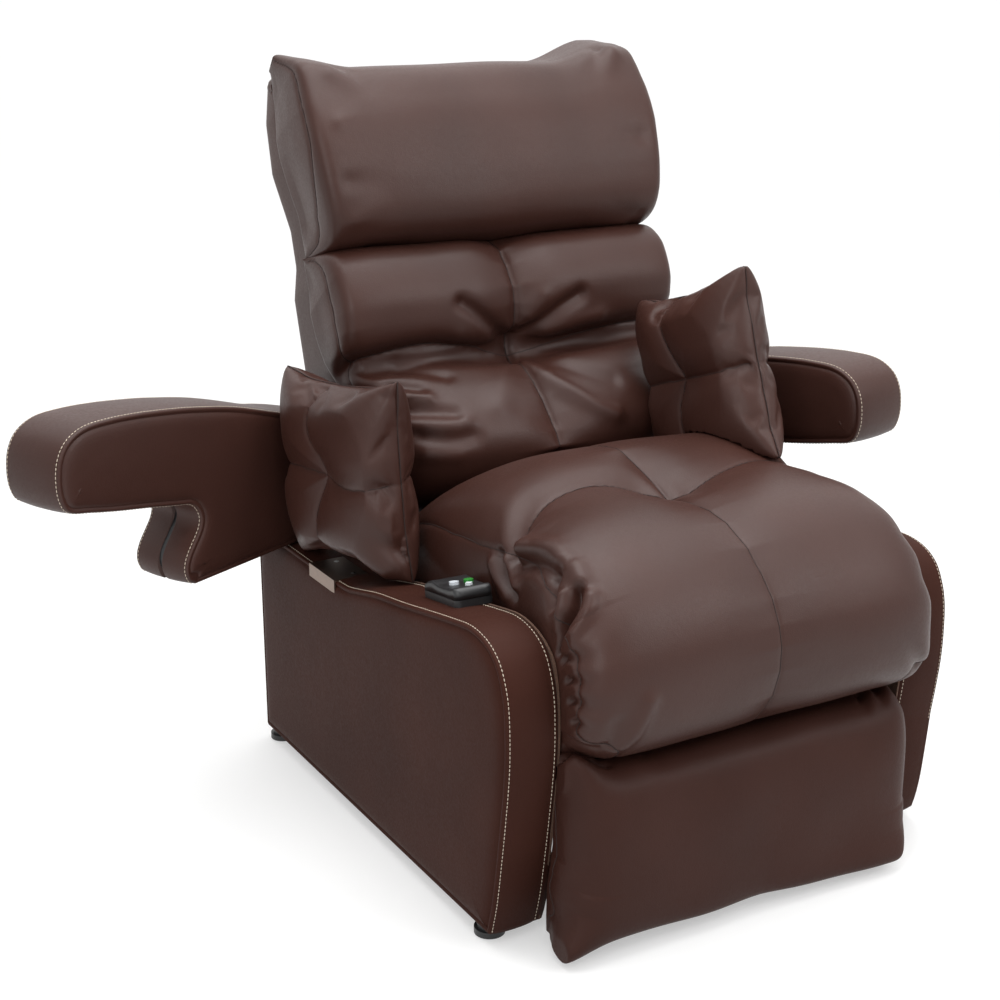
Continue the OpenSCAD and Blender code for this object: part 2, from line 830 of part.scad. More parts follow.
module back_frame() {
    top = back_len - shell_wall - clear;
    first = shell_from + shell_wall;
    color("gray") leaning() {
        both_sides() {
            translate([back_tube_x, -back_tube - clear, first])
                cube([back_tube, back_tube, top - first]);
            across(back_lug_x, back_lug_x + ear_t) difference() {
                union() {
                    circle(r = boss_r);
                    translate([-back_tube - clear, 0]) square([back_tube, first + back_tube]);
                    translate([-back_tube - clear, 0]) square([back_tube + boss_r, boss_r]);
                }
                circle(r = pin_r + run);
            }
        }
        for (z = [first, top - back_tube])
            translate([-back_tube_x, -back_tube - clear, z])
                cube([2 * back_tube_x, back_tube, back_tube]);
    }
    color("gray") placed() translate([side_motor_x, 0, 0])
        eye_ears(back_rod_eye, back_hinge + [-clear - back_tube / 4, first], eye_r - eye_gap);
}

module back_webbing() {
    color("black") leaning()
        for (i = [1:5])
            translate([
                -back_tube_x - back_tube, -back_tube - clear - webbing_t,
                shell_from + (back_len - shell_from) * i / 6 - webbing_w / 2
            ])
                cube([2 * back_tube_x + 2 * back_tube, webbing_t, webbing_w]);
}

// Back cushion: [share of its thickness, share of the length below the head cushion]
back_front_shares = [
    [0.62, 0.000], [1.00, 0.110], [0.97, 0.230], [0.86, 0.360], [0.72, 0.510], [0.68, 0.700],
    [0.62, 0.850], [0.30, 1.000]
];
back_side_shares = [
    [0.04, 0.000], [0.08, 0.110], [0.08, 0.230], [0.07, 0.360], [0.06, 0.510], [0.05, 0.700],
    [0.04, 0.850], [0.03, 1.000]
];
back_pad_low = shell_from + shell_wall;
back_pad_high = back_len - head_len;
back_power = 2;
back_tuft_share = 0.51;
back_tuft_deep = 48;
back_tuft_reach = 75;
back_draw_share = 0.02;

module back_cushion() {
    high = back_pad_high - back_pad_low - soft_gap;
    front = function (u, v)
        let (
            share = (u + 1) / 2,
            p = mix(
                spline_share(back_side_shares, share), spline_share(back_front_shares, share),
                swell(v, back_power)
            ),
            x = back_w / 2 * v * (1 - back_draw_share * (1 - u * u)),
            z = high * p[1],
            dip = back_tuft_deep * bell(z - high * back_tuft_share, back_tuft_reach)
                * bell(x, back_tuft_reach)
        )
        [x, -back_pad_from - back_fill * p[0] + dip, back_pad_low + z];
    back = function (u, v)
        [
            back_w / 2 * v * (1 - back_draw_share), -back_pad_from,
            back_pad_low + high * (u + 1) / 2
        ];
    color("saddlebrown") leaning() padded(front, back, 18, 14);
}

// Head cushion: [share of its thickness, share of its length]; its upper corners stand higher
head_front_shares = [
    [0.40, 0.000], [0.86, 0.030], [1.00, 0.180], [1.00, 0.400], [0.96, 0.620], [0.80, 0.830],
    [0.42, 0.975], [0.22, 1.000]
];
head_side_share = 0.40;
head_power = 5;
head_ear = 12;
head_ear_power = 6;

module head_cushion() {
    front = function (u, v)
        let (
            p = spline_share(head_front_shares, (u + 1) / 2),
            full = mix(head_side_share, 1, swell(v, head_power))
        )
        [
            head_w / 2 * v, -back_pad_from - head_fill * p[0] * full,
            back_pad_high + head_len * p[1] + head_ear * p[1] * pow(v, head_ear_power)
        ];
    back = function (u, v)
        [
            head_w / 2 * v * (1 - back_draw_share), -back_pad_from,
            back_pad_high + (head_len + head_ear * pow(v, head_ear_power)) * (u + 1) / 2
        ];
    color("saddlebrown") leaning() padded(front, back, 18, 14);
}

module back_hinge_pins() {
    color("silver") placed() both_sides()
        pivot_pin(back_lug_x, seat_ear_x + ear_t, back_hinge);
}

module back_motor() {
    color("darkgray") placed()
        between(back_motor_eye, back_rod_eye, side_motor_x) actuator_housing(back_motor_l);
}

module back_rod() {
    color("silver") placed()
        between(back_motor_eye, back_rod_eye, side_motor_x)
            actuator_rod(rod_start + back_rod_travel, norm(back_rod_eye - back_motor_eye));
}

// Arms, drawn closed with the post's axis at the origin: -Y is towards the nose, +X outwards

arm_gap = 4.3;
arm_z = panel_rear_h + arm_gap;
bush_wall = 4;
bush_h = 150;
closure_w = 9;
closure_deep = 7;
// Arm's outline as shares of its length and height, from the rear over the top to the block
arm_top_shares = [
    [-0.077, 0.600], [0.050, 0.680], [0.200, 0.775], [0.400, 0.888], [0.600, 0.960],
    [0.780, 0.995], [0.900, 0.992], [0.965, 0.935], [0.998, 0.820], [0.996, 0.690],
    [0.960, 0.600], [0.880, 0.560], [0.740, 0.510], [0.610, 0.462]
];
arm_block_shares = [
    [0.540, 0.435], [0.512, 0.380], [0.512, 0.320], [0.540, 0.245], [0.574, 0.160],
    [0.580, 0.090], [0.560, 0.030]
];
arm_foot_share = 0.530;

function arm_point(s) = [-s[0] * arm_len, s[1] * arm_h];

module arm_outline() {
    polygon(concat(
        [[arm_in, 0]],
        spline([for (s = arm_top_shares) arm_point(s)], 4),
        spline([for (s = arm_block_shares) arm_point(s)], 4),
        [[-arm_foot_share * arm_len, 0]]
    ));
}

// Band along the block's front where the closure lies
module closure_outline() {
    line = spline([for (s = arm_block_shares) arm_point(s)], 4);
    polygon(concat(
        [for (p = line) p + [closure_deep, 0]],
        [for (i = [len(line) - 1:-1:0]) line[i] - [cut, 0]]
    ));
}

module arm_plan() {
    outer = arm_t - arm_in;
    steps = 12;
    turn = 90 / steps;
    polygon(concat(
        [[-arm_in, -arm_len - arm_in]],
        [for (i = [0:steps]) [-arm_in * cos(i * turn), arm_in * sin(i * turn)]],
        [for (i = [1:steps]) [outer * sin(i * turn), arm_in * cos(i * turn)]],
        [[outer, -arm_len - arm_in]]
    ));
}

module arm() {
    difference() {
        intersection() {
            across(-arm_in, arm_t - arm_in) arm_outline();
            translate([0, 0, -cut]) linear_extrude(arm_h + 2 * cut) arm_plan();
        }
        translate([0, 0, -cut]) cylinder(h = bush_h + clear + cut, r = post_r + run + bush_wall);
        translate([arm_t / 2 - arm_in - closure_w / 2, 0, 0])
            across(0, closure_w) closure_outline();
    }
}

module arm_bush() {
    difference() {
        cylinder(h = bush_h, r = post_r + run + bush_wall);
        translate([0, 0, -cut]) cylinder(h = bush_h + 2 * cut, r = post_r + run);
    }
}

module arm_closure() {
    line = spline([for (s = arm_block_shares) arm_point(s)], 4);
    translate([arm_t / 2 - arm_in - closure_w / 2, 0, 0]) across(clear, closure_w - clear)
        polygon(concat(
            [for (p = line) p + [closure_deep, 0]],
            [for (i = [len(line) - 1:-1:0]) line[i] + [closure_deep / 2, 0]]
        ));
}

flange_t = 4;
flange_r = 34;

module arm_post() {
    translate([0, 0, -arm_gap]) cylinder(h = flange_t, r = flange_r);
    translate([0, 0, -arm_gap]) cylinder(h = bush_h + arm_gap, r = post_r);
}

module at_post(open) {
    placed() translate([post_x, post_y, arm_z]) rotate([0, 0, open]) children();
}

module at_left_post() {
    mirror([1, 0, 0]) at_post(arm_left_open) children();
}

module arm_right() { color("saddlebrown") at_post(arm_right_open) arm(); }
module arm_left() { color("saddlebrown") at_left_post() arm(); }
module arm_bush_right() { color("silver") at_post(arm_right_open) arm_bush(); }
module arm_bush_left() { color("silver") at_left_post() arm_bush(); }
module arm_closure_right() { color("black") at_post(arm_right_open) arm_closure(); }
module arm_closure_left() { color("black") at_left_post() arm_closure(); }
module arm_post_right() { color("silver") at_post(0) arm_post(); }
module arm_post_left() { color("silver") mirror([1, 0, 0]) at_post(0) arm_post(); }

// Latch plates on the panels' top outer edge, bent down over the outer face

plate_l = 92;
plate_wide = 56;
plate_t = 2.5;
plate_lip = 22;
plate_share = 0.608;
screw_r = 4;

module plate_screws_at(grow) {
    for (end = [-1, 1])
        translate([
            body_w / 2 - plate_wide * 2 / 3, plate_share * body_d + plate_l / 2 + end * plate_l / 3,
            panel_rear_h
        ])
            cylinder(h = plate_t + grow, r = screw_r + grow);
}

module latch_plate() {
    placed() difference() {
        union() {
            translate([body_w / 2 - plate_wide, plate_share * body_d, panel_rear_h])
                cube([plate_wide + plate_t, plate_l, plate_t]);
            translate([body_w / 2, plate_share * body_d, panel_rear_h + plate_t - plate_lip])
                cube([plate_t, plate_l, plate_lip]);
        }
        translate([0, 0, -run]) plate_screws_at(2 * run);
    }
}

module latch_plate_right() { color("rosybrown") latch_plate(); }
module latch_plate_left() { color("rosybrown") mirror([1, 0, 0]) latch_plate(); }

module plate_screws() {
    color("silver") placed() both_sides() plate_screws_at(0);
}

// Loose pillows

pillow_edge = 5;
pillow_power = 2.6;
pillow_draw_share = 0.10;
pillow_tuft_deep = 20;
pillow_tuft_reach = 42;

module pillow() {
    face = function (u, v, way)
        let (
            x = pillow_w / 2 * v * (1 - pillow_draw_share * (1 - u * u)),
            z = pillow_h / 2 * u * (1 - pillow_draw_share * (1 - v * v)),
            full = swell(u, pillow_power) * swell(v, pillow_power),
            dip = pillow_tuft_deep * bell(x, pillow_tuft_reach) * bell(z, pillow_tuft_reach),
            half = pillow_edge + (pillow_t / 2 - pillow_edge) * full - dip
        )
        [way * half, x, z];
    padded(function (u, v) face(u, v, -1), function (u, v) face(u, v, 1), 12, 12);
}

pillow_right_in = 80;
pillow_right_y = 378;
pillow_right_down = 62.3;
pillow_left_in = 35;
pillow_left_y = 500;
pillow_left_up = 13.6;

module pillow_right() {
    color("saddlebrown") placed()
        translate([
            board_x - pillow_right_in, pillow_right_y, seat_h + pillow_h / 2 - pillow_right_down
        ])
            rotate([-pillow_right_lean, 0, 0]) pillow();
}

module pillow_left() {
    color("saddlebrown") placed()
        translate([
            pillow_left_in - body_w / 2, pillow_left_y, panel_rear_h + pillow_h / 2 + pillow_left_up
        ])
            rotate([0, 0, pillow_left_yaw]) rotate([-pillow_left_lean, 0, 0]) pillow();
}

// Handset on the left panel's top, with its front end towards -Y

hand_in = 62;
hand_share = [0.1897, 0.9736];
hand_x = hand_in - body_w / 2;
hand_front_y = hand_share[0] * body_d;
hand_front_z = hand_share[1] * panel_h;
hand_tilt = 9.9;
hand_yaw = 3;
hand_split = 10;
hand_round = 9;
hand_nose = 8;
button_up = 2;
button_sunk = 3;
button_r = 7;
home_side = 8;

module on_handset() {
    placed() translate([hand_x, hand_front_y, hand_front_z]) rotate([0, 0, -hand_yaw])
        rotate([-hand_tilt, 0, 0]) children();
}

module handset_outline() {
    union() {
        translate([hand_round - hand_w / 2, 0]) square([hand_w - 2 * hand_round, hand_l]);
        translate([-hand_w / 2, hand_round]) square([hand_w, hand_l - 2 * hand_round]);
        for (x = [hand_round - hand_w / 2, hand_w / 2 - hand_round])
            for (y = [hand_round, hand_l - hand_round])
                translate([x, y]) circle(r = hand_round);
    }
}

module handset_base() {
    color("black") on_handset() {
        linear_extrude(hand_split) handset_outline();
        translate([0, hand_l - cut, hand_split / 2]) rotate([-90, 0, 0])
            cylinder(h = hand_nose + cut, r = hand_split / 2);
    }
}

// Places of the buttons on the cover
raise_at = [-9, 47];
lower_at = [14, 48];
home_at = [4, 26];

module home_outline(grow) {
    rotate(45) square(home_side + 2 * grow, center = true);
}

module handset_cover() {
    color("black") on_handset() difference() {
        translate([0, 0, hand_split + run]) linear_extrude(hand_h - hand_split - run)
            handset_outline();
        translate([0, 0, hand_h - button_sunk - button_up]) linear_extrude(hand_h) {
            translate(raise_at) circle(r = button_r + clear);
            translate(lower_at) circle(r = button_r + clear);
            translate(home_at) home_outline(clear);
        }
    }
}

module button(at) {
    color("silver") on_handset() translate([at[0], at[1], hand_h - button_sunk])
        cylinder(h = button_sunk + button_up, r = button_r);
}

module button_raise() { button(raise_at); }
module button_lower() { button(lower_at); }
module button_home() {
    color("white") on_handset() translate([home_at[0], home_at[1], hand_h - button_sunk])
        linear_extrude(button_sunk + button_up) home_outline(0);
}

// Handset cord, from the handset's rear nose over the panel's inner edge and down beside the
// seat to the control box. Shares of half the width, of the depth and of the panels' height.
cord_shares = [
    [-0.8132, 0.3577, 0.9328], [-0.8026, 0.3718, 0.9284], [-0.7868, 0.3833, 0.9251],
    [-0.7724, 0.3923, 0.9141], [-0.7632, 0.3974, 0.8921], [-0.7579, 0.4000, 0.8590],
    [-0.7553, 0.4013, 0.8040], [-0.7526, 0.4013, 0.7489], [-0.7500, 0.4013, 0.6960],
    [-0.7447, 0.4026, 0.6388], [-0.7395, 0.4038, 0.5815], [-0.7342, 0.4051, 0.5242],
    [-0.7263, 0.4077, 0.4670], [-0.7105, 0.4103, 0.4141], [-0.6842, 0.4154, 0.3678],
    [-0.6421, 0.4231, 0.3304], [-0.5895, 0.4333, 0.3084], [-0.5263, 0.4462, 0.2952],
    [-0.4632, 0.4615, 0.2907], [-0.3947, 0.4795, 0.2907], [-0.3316, 0.4974, 0.2930],
    [-0.2684, 0.5128, 0.2974], [-0.2105, 0.5282, 0.3084], [-0.1579, 0.5410, 0.3260],
    [-0.1105, 0.5513, 0.3524], [-0.0737, 0.5590, 0.3833], [-0.0474, 0.5628, 0.4141]
];
cord_out = 0.5;
cord_up = 12;
flat_least = 0.2;
hand_end = hand_l + hand_nose + cord_out;
hand_reach = hand_end * cos(hand_tilt) + hand_split / 2 * sin(hand_tilt);
cord_route = concat(
    [[
        hand_x + hand_reach * sin(hand_yaw), hand_front_y + hand_reach * cos(hand_yaw),
        hand_front_z - hand_end * sin(hand_tilt) + hand_split / 2 * cos(hand_tilt)
    ]],
    [for (s = cord_shares) [s[0] * body_w / 2, s[1] * body_d, s[2] * panel_h]],
    [box_bush - [0, 0, cord_up], box_bush - [0, 0, cord_out]]
);
cord_sides = 8;
cord_steps = 2;

module handset_cord() {
    line = spline(cord_route, cord_steps);
    last = len(line) - 1;
    function heading(i) =
        let (d = line[min(i + 1, last)] - line[max(i - 1, 0)]) d / norm(d);
    points = [
        for (i = [0:last])
            let (
                t = heading(i),
                flat = cross(t, [0, 0, 1]),
                steep = cross(t, [0, 1, 0]),
                a = norm(flat) > flat_least ? flat / norm(flat) : steep / norm(steep),
                b = cross(t, a)
            )
            for (k = [0:cord_sides - 1])
                line[i] + cord_d / 2 * (a * cos(k * 360 / cord_sides) + b * sin(k * 360 / cord_sides))
    ];
    skin = [
        for (i = [0:last - 1])
            for (k = [0:cord_sides - 1])
                let (
                    a = i * cord_sides + k, b = i * cord_sides + (k + 1) % cord_sides,
                    c = b + cord_sides, d = a + cord_sides
                )
                each [[a, c, b], [a, d, c]]
    ];
    ends = [
        [for (k = [0:cord_sides - 1]) k],
        [for (k = [cord_sides - 1:-1:0]) last * cord_sides + k]
    ];
    color("black") placed() polyhedron(points, concat(skin, ends), convexity = 8);
}

base_frame();
floor_glides();
lift_pivot_pins();
lift_arms();
lift_top_pins();
lift_motor();
lift_rod();
carriage_frame();
seat_frame();
seat_webbing();
side_board_left();
side_board_right();
side_panel_left();
side_panel_right();
side_lining_left();
side_lining_right();
panel_feet();
panel_brackets();
rear_panel();
power_inlet();
control_box();
seat_cushion();
knee_cushion();
pillow_left();
pillow_right();
arm_post_left();
arm_post_right();
arm_left();
arm_right();
arm_bush_left();
arm_bush_right();
arm_closure_left();
arm_closure_right();
latch_plate_left();
latch_plate_right();
plate_screws();
back_frame();
back_webbing();
back_shell();
back_cushion();
head_cushion();
back_hinge_pins();
back_motor();
back_rod();
legrest_frame();
legrest_board();
calf_pad();
leg_hinge_pins();
leg_motor();
leg_rod();
handset_base();
handset_cover();
button_raise();
button_lower();
button_home();
handset_cord();
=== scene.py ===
import math

import bmesh
import bpy
import numpy as np
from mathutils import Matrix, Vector
from mathutils.geometry import delaunay_2d_cdt


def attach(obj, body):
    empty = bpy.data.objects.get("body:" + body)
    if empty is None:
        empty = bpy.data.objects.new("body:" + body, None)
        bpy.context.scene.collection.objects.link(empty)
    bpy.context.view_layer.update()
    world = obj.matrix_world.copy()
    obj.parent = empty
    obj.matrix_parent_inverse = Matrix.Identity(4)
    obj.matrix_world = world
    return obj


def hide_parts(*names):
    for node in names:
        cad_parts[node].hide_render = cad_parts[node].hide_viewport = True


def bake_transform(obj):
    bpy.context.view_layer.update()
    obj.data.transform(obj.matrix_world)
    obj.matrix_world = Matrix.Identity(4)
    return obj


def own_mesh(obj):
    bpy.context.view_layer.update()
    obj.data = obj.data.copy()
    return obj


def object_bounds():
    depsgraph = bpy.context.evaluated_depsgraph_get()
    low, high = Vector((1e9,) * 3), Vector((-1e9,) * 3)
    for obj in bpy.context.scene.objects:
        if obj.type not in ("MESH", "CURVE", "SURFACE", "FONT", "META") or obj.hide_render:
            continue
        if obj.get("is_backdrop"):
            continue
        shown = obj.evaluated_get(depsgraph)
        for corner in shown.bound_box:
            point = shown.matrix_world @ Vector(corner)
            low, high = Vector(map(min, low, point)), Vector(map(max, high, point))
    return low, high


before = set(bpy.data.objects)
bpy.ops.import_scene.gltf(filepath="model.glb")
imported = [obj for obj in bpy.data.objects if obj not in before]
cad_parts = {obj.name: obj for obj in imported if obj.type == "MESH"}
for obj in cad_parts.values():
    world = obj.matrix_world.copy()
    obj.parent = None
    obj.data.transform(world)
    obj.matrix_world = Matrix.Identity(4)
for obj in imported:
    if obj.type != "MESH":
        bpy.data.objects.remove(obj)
cad_low, cad_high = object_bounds()

# How far the frame's origin lies behind the panels' front edge
BASE_SHIFT = 40.0
# The back's hinge line as (y, z), and how far the back leans
HINGE = (600.0, 410.0)
LEAN = math.radians(21)
# The arms' posts, and the arms' underside
POST_X = 319.0
POST_Y = 725.0
ARM_LOW = 386.8


def at(points):
    """Chair millimetres to metres in the row frame."""
    points = np.asarray(points, float)
    return (points - np.array([0, BASE_SHIFT, 0])) / 1000


def back_place(p):
    """Points of the leaning back: across it, forwards of its hinge plane and up along it."""
    x, n, w = (p[..., k] for k in (0, 1, 2))
    y = HINGE[0] + w * math.sin(LEAN) - n * math.cos(LEAN)
    z = HINGE[1] + w * math.cos(LEAN) + n * math.sin(LEAN)
    return np.stack([x, y, z], -1)


def smooth_line(points, count):
    """Points evenly spaced along a smooth curve through the given points."""
    p = np.asarray(points, float)
    dense = []
    for i in range(len(p) - 1):
        a, b, c, d = p[max(i - 1, 0)], p[i], p[i + 1], p[min(i + 2, len(p) - 1)]
        for t in np.linspace(0, 1, 24, endpoint=False):
            dense.append(
                0.5 * (2 * b + (c - a) * t + (2 * a - 5 * b + 4 * c - d) * t * t
                       + (3 * b - a - 3 * c + d) * t * t * t)
            )
    dense.append(p[-1])
    return even(np.array(dense), count)


def even(line, count):
    """The same polyline with evenly spaced points."""
    run = run_along(line)
    where = np.linspace(0, run[-1], count)
    return np.stack([np.interp(where, run, line[:, k]) for k in range(line.shape[1])], -1)


def run_along(line):
    """How far along a polyline each of its points lies."""
    steps = np.linalg.norm(np.diff(line, axis=0), axis=1)
    return np.concatenate([[0], np.cumsum(steps)])


def unit(value):
    """The value held between 0 and 1."""
    return np.clip(value, 0, 1)


def bell(distance, wide):
    """1 at no distance, falling smoothly to nothing over about twice the width."""
    return np.exp(-((distance / wide) ** 2))


def lookup(table, x):
    """A smooth value between the rows of a two-column table."""
    t = np.asarray(table, float)
    order = np.argsort(t[:, 0])
    t = t[order]
    slopes = np.gradient(t[:, 1], t[:, 0])
    x = np.clip(np.asarray(x, float), t[0, 0], t[-1, 0])
    i = np.clip(np.searchsorted(t[:, 0], x) - 1, 0, len(t) - 2)
    h = t[i + 1, 0] - t[i, 0]
    s = (x - t[i, 0]) / h
    return (
        (2 * s**3 - 3 * s**2 + 1) * t[i, 1] + (s**3 - 2 * s**2 + s) * h * slopes[i]
        + (-2 * s**3 + 3 * s**2) * t[i + 1, 1] + (s**3 - s**2) * h * slopes[i + 1]
    )


def grid_normals(p):
    """Unit normals of a grid of points."""
    along = np.gradient(p, axis=0)
    wide = np.gradient(p, axis=1)
    n = np.cross(along, wide)
    size = np.linalg.norm(n, axis=-1, keepdims=True)
    return n / np.maximum(size, 1e-12)


def to_segment(a, b, p):
    """Distance from grid points p (last axis 2) to the segment ab, and the share along it."""
    a, b = np.asarray(a, float), np.asarray(b, float)
    d = b - a
    t = unit(((p - a) @ d) / max(d @ d, 1e-12))
    return np.linalg.norm(p - a - t[..., None] * d, axis=-1), t


def to_line(line, p):
    """Distance from grid points p to a polyline."""
    best = np.full(p.shape[:-1], 1e9)
    for a, b in zip(line[:-1], line[1:]):
        best = np.minimum(best, to_segment(a, b, p)[0])
    return best


def fold(a, b, p, high, wide, spread=1.8):
    """A fold that is tight at a and fades out towards b."""
    d, t = to_segment(a, b, p)
    width = wide * (1 + (spread - 1) * t)
    fade = (1 - t) ** 1.2 * bell(d, width)
    return high * fade


def ripple(p, seed, size, high):
    """Seeded gentle unevenness of about the given size."""
    rng = np.random.default_rng(seed)
    total = np.zeros(p.shape[:-1])
    for _ in range(9):
        angle, phase = rng.uniform(0, 2 * math.pi, 2)
        scale = size * rng.uniform(0.7, 1.6)
        way = p[..., 0] * math.cos(angle) + p[..., 1] * math.sin(angle)
        total += np.sin(way * 2 * math.pi / scale + phase)
    return high * total / 3


def place_object(name, data):
    """An object with the given data, in the scene."""
    ob = bpy.data.objects.new(name, data)
    bpy.context.scene.collection.objects.link(ob)
    return ob


def smooth_faces(mesh):
    mesh.polygons.foreach_set("use_smooth", [True] * len(mesh.polygons))


def mesh_from(name, verts, faces, material):
    """A smooth mesh object from points in metres."""
    mesh = bpy.data.meshes.new(name)
    mesh.from_pydata([tuple(v) for v in verts], [], faces)
    mesh.update()
    mesh.materials.append(material)
    smooth_faces(mesh)
    return place_object(name, mesh)


def shown_mesh(ob):
    """A new mesh with the object's modifiers applied."""
    bpy.context.view_layer.update()
    graph = bpy.context.evaluated_depsgraph_get()
    return bpy.data.meshes.new_from_object(ob.evaluated_get(graph))


def weld(ob, distance=2e-5):
    """Joins points that coincide, and turns the faces outwards."""
    bm = bmesh.new()
    bm.from_mesh(ob.data)
    bmesh.ops.remove_doubles(bm, verts=bm.verts, dist=distance)
    bmesh.ops.recalc_face_normals(bm, faces=bm.faces)
    bm.to_mesh(ob.data)
    bm.free()
    smooth_faces(ob.data)
    ob.data.update()


def grid_faces(rows, cols, start=0, flip=False):
    """Quads of a grid of points stored row by row."""
    faces = []
    for i in range(rows - 1):
        for j in range(cols - 1):
            a = start + i * cols + j
            quad = (a, a + 1, a + cols + 1, a + cols)
            faces.append(quad[::-1] if flip else quad)
    return faces


def ring_faces(rows, count):
    """Quads between closed rings of points stored ring by ring."""
    faces = []
    for i in range(rows - 1):
        for j in range(count):
            k = (j + 1) % count
            faces.append((i * count + j, i * count + k, (i + 1) * count + k, (i + 1) * count + j))
    return faces


def cushion_mesh(name, top, material, under=6):
    """A closed cushion from its top sheet, whose four edges lie on the underside."""
    rows, cols = top.shape[:2]
    across = np.linspace(0, 1, under + 2)
    bottom = top[:, :1] * (1 - across[None, :, None]) + top[:, -1:] * across[None, :, None]
    picked = np.linspace(0, cols - 1, under + 2).round().astype(int)
    for end in (0, -1):
        bottom[end] = top[end, picked]
    verts = np.concatenate([top.reshape(-1, 3), bottom.reshape(-1, 3)])
    faces = grid_faces(rows, cols) + grid_faces(rows, under + 2, rows * cols, True)
    ob = mesh_from(name, at(verts), faces, material)
    weld(ob)
    return ob


# Materials
def fill_inputs(tree, node, inputs):
    """Each of the node's named inputs takes a value or another node's output."""
    for name, value in inputs.items():
        if isinstance(value, bpy.types.NodeSocket):
            tree.links.new(value, node.inputs[name])
        else:
            node.inputs[name].default_value = value


def add_node(tree, kind, inputs=None, **settings):
    """A new node with its settings and inputs."""
    node = tree.nodes.new(kind)
    for name, value in settings.items():
        setattr(node, name, value)
    fill_inputs(tree, node, inputs or {})
    return node


def node_material(name):
    """A new material, its tree, its shader node and its object coordinates."""
    mat = bpy.data.materials.new(name)
    mat.use_nodes = True
    tree = mat.node_tree
    return mat, tree, tree.nodes["Principled BSDF"], add_node(tree, "ShaderNodeTexCoord").outputs["Object"]


def noise(tree, coords, scale, detail, rough=0.5):
    inputs = {"Vector": coords, "Scale": scale, "Detail": detail, "Roughness": rough}
    return add_node(tree, "ShaderNodeTexNoise", inputs).outputs["Fac"]


def bumps(tree, height, strength, distance, below=None):
    """A bumpy normal from a height, on top of the bumps below."""
    inputs = {"Height": height, "Strength": strength, "Distance": distance}
    if below:
        inputs["Normal"] = below
    return add_node(tree, "ShaderNodeBump", inputs).outputs["Normal"]


def tint(tree, source, *stops):
    """The colour that a value stands for, from (value, colour, share of its brightness) stops."""
    node = add_node(tree, "ShaderNodeValToRGB", {"Fac": source})
    elements = node.color_ramp.elements
    while len(elements) < len(stops):
        elements.new(0.5)
    for element, (value, colour, share) in zip(elements, stops):
        element.position = value
        element.color = (*(min(1.0, c * share) for c in colour), 1)
    return node.outputs["Color"]


def leather_material(name, colour, roughness, shine=0.28):
    mat, tree, shader, coords = node_material(name)
    pores = add_node(tree, "ShaderNodeTexVoronoi", {"Vector": coords, "Scale": 620.0}).outputs["Distance"]
    fine = noise(tree, coords, 260.0, 3.0)
    broad = noise(tree, coords, 5.0, 3.0)
    gloss = add_node(tree, "ShaderNodeMapRange", {
        "Value": fine, "From Min": 0.3, "From Max": 0.7,
        "To Min": roughness - 0.05, "To Max": roughness + 0.06,
    })
    grain = bumps(tree, pores, 0.10, 0.0012)
    fill_inputs(tree, shader, {
        "Base Color": tint(tree, broad, (0.3, colour, 0.86), (0.52, colour, 1.0), (0.72, colour, 1.12)),
        "Roughness": gloss.outputs["Result"],
        "Normal": bumps(tree, noise(tree, coords, 46.0, 5.0, 0.6), 0.12, 0.003, grain),
        "Specular IOR Level": shine,
    })
    return mat


def plain_material(name, colour, roughness, metallic=0.0, bump=0.05, scale=300.0, stretch=None, spread=0.12):
    mat, tree, shader, coords = node_material(name)
    if stretch:
        coords = add_node(tree, "ShaderNodeMapping", {"Vector": coords, "Scale": stretch}).outputs["Vector"]
    speckle = noise(tree, coords, scale, 5.0)
    gloss = add_node(tree, "ShaderNodeMapRange", {
        "Value": speckle, "To Min": max(0.05, roughness - 0.08), "To Max": min(1.0, roughness + 0.08),
    })
    fill_inputs(tree, shader, {
        "Base Color": tint(tree, speckle, (0.3, colour, 1 - spread), (0.7, colour, 1 + spread)),
        "Roughness": gloss.outputs["Result"],
        "Metallic": metallic,
        "Normal": bumps(tree, speckle, bump, 0.001),
    })
    return mat


def woven_material(name, colour, roughness, threads):
    mat, tree, shader, coords = node_material(name)
    waves = {"Vector": coords, "Scale": threads, "Distortion": 0.6}
    along, over = (add_node(tree, "ShaderNodeTexWave", waves, bands_direction=axis) for axis in ("Y", "Z"))
    both = {0: along.outputs["Fac"], 1: over.outputs["Fac"]}
    weave = add_node(tree, "ShaderNodeMath", both, operation="MAXIMUM").outputs["Value"]
    fill_inputs(tree, shader, {
        "Base Color": tint(tree, weave, (0.2, colour, 0.6), (0.9, colour, 1.0)),
        "Roughness": roughness,
        "Normal": bumps(tree, weave, 0.35, 0.0008),
    })
    return mat


LEATHER_COLOUR = (0.0430, 0.0160, 0.0115)
leather = leather_material("leather_brown", LEATHER_COLOUR, 0.42)
arm_leather = leather_material("leather_arm", LEATHER_COLOUR, 0.46)
# A darker, less glossy copy of the leather for the calf pad: painted shade on the calf's upright front
shaded_calf_leather = leather_material("leather_calf_shaded", tuple(c * 0.92 for c in LEATHER_COLOUR), 0.5, shine=0.13)
# A darker, redder and less glossy copy of the leather for the side panels and the rear panel: painted shade
# on their dim upright sides
shaded_panel_leather = leather_material("leather_panel_shaded", (0.0405, 0.0140, 0.0095), 0.55, shine=0.06)
cream_thread = plain_material("thread_cream", (0.62, 0.53, 0.42), 0.75, bump=0.3, scale=900.0)
painted = plain_material("steel_black_paint", (0.020, 0.020, 0.022), 0.42, bump=0.08, scale=220.0)
bright = plain_material("steel_bright", (0.60, 0.59, 0.57), 0.28, 1.0, 0.04, 160.0, (1, 1, 12))
plate_steel = plain_material("steel_plate", (0.20, 0.145, 0.115), 0.38, 1.0, 0.05, 90.0, (14, 1, 1))
black_plastic = plain_material("plastic_black", (0.011, 0.011, 0.012), 0.40, bump=0.10, scale=700.0)
grey_plastic = plain_material("plastic_grey", (0.055, 0.055, 0.060), 0.50, bump=0.12, scale=500.0)
rubber = plain_material("rubber_black", (0.010, 0.010, 0.010), 0.62, bump=0.15, scale=400.0)
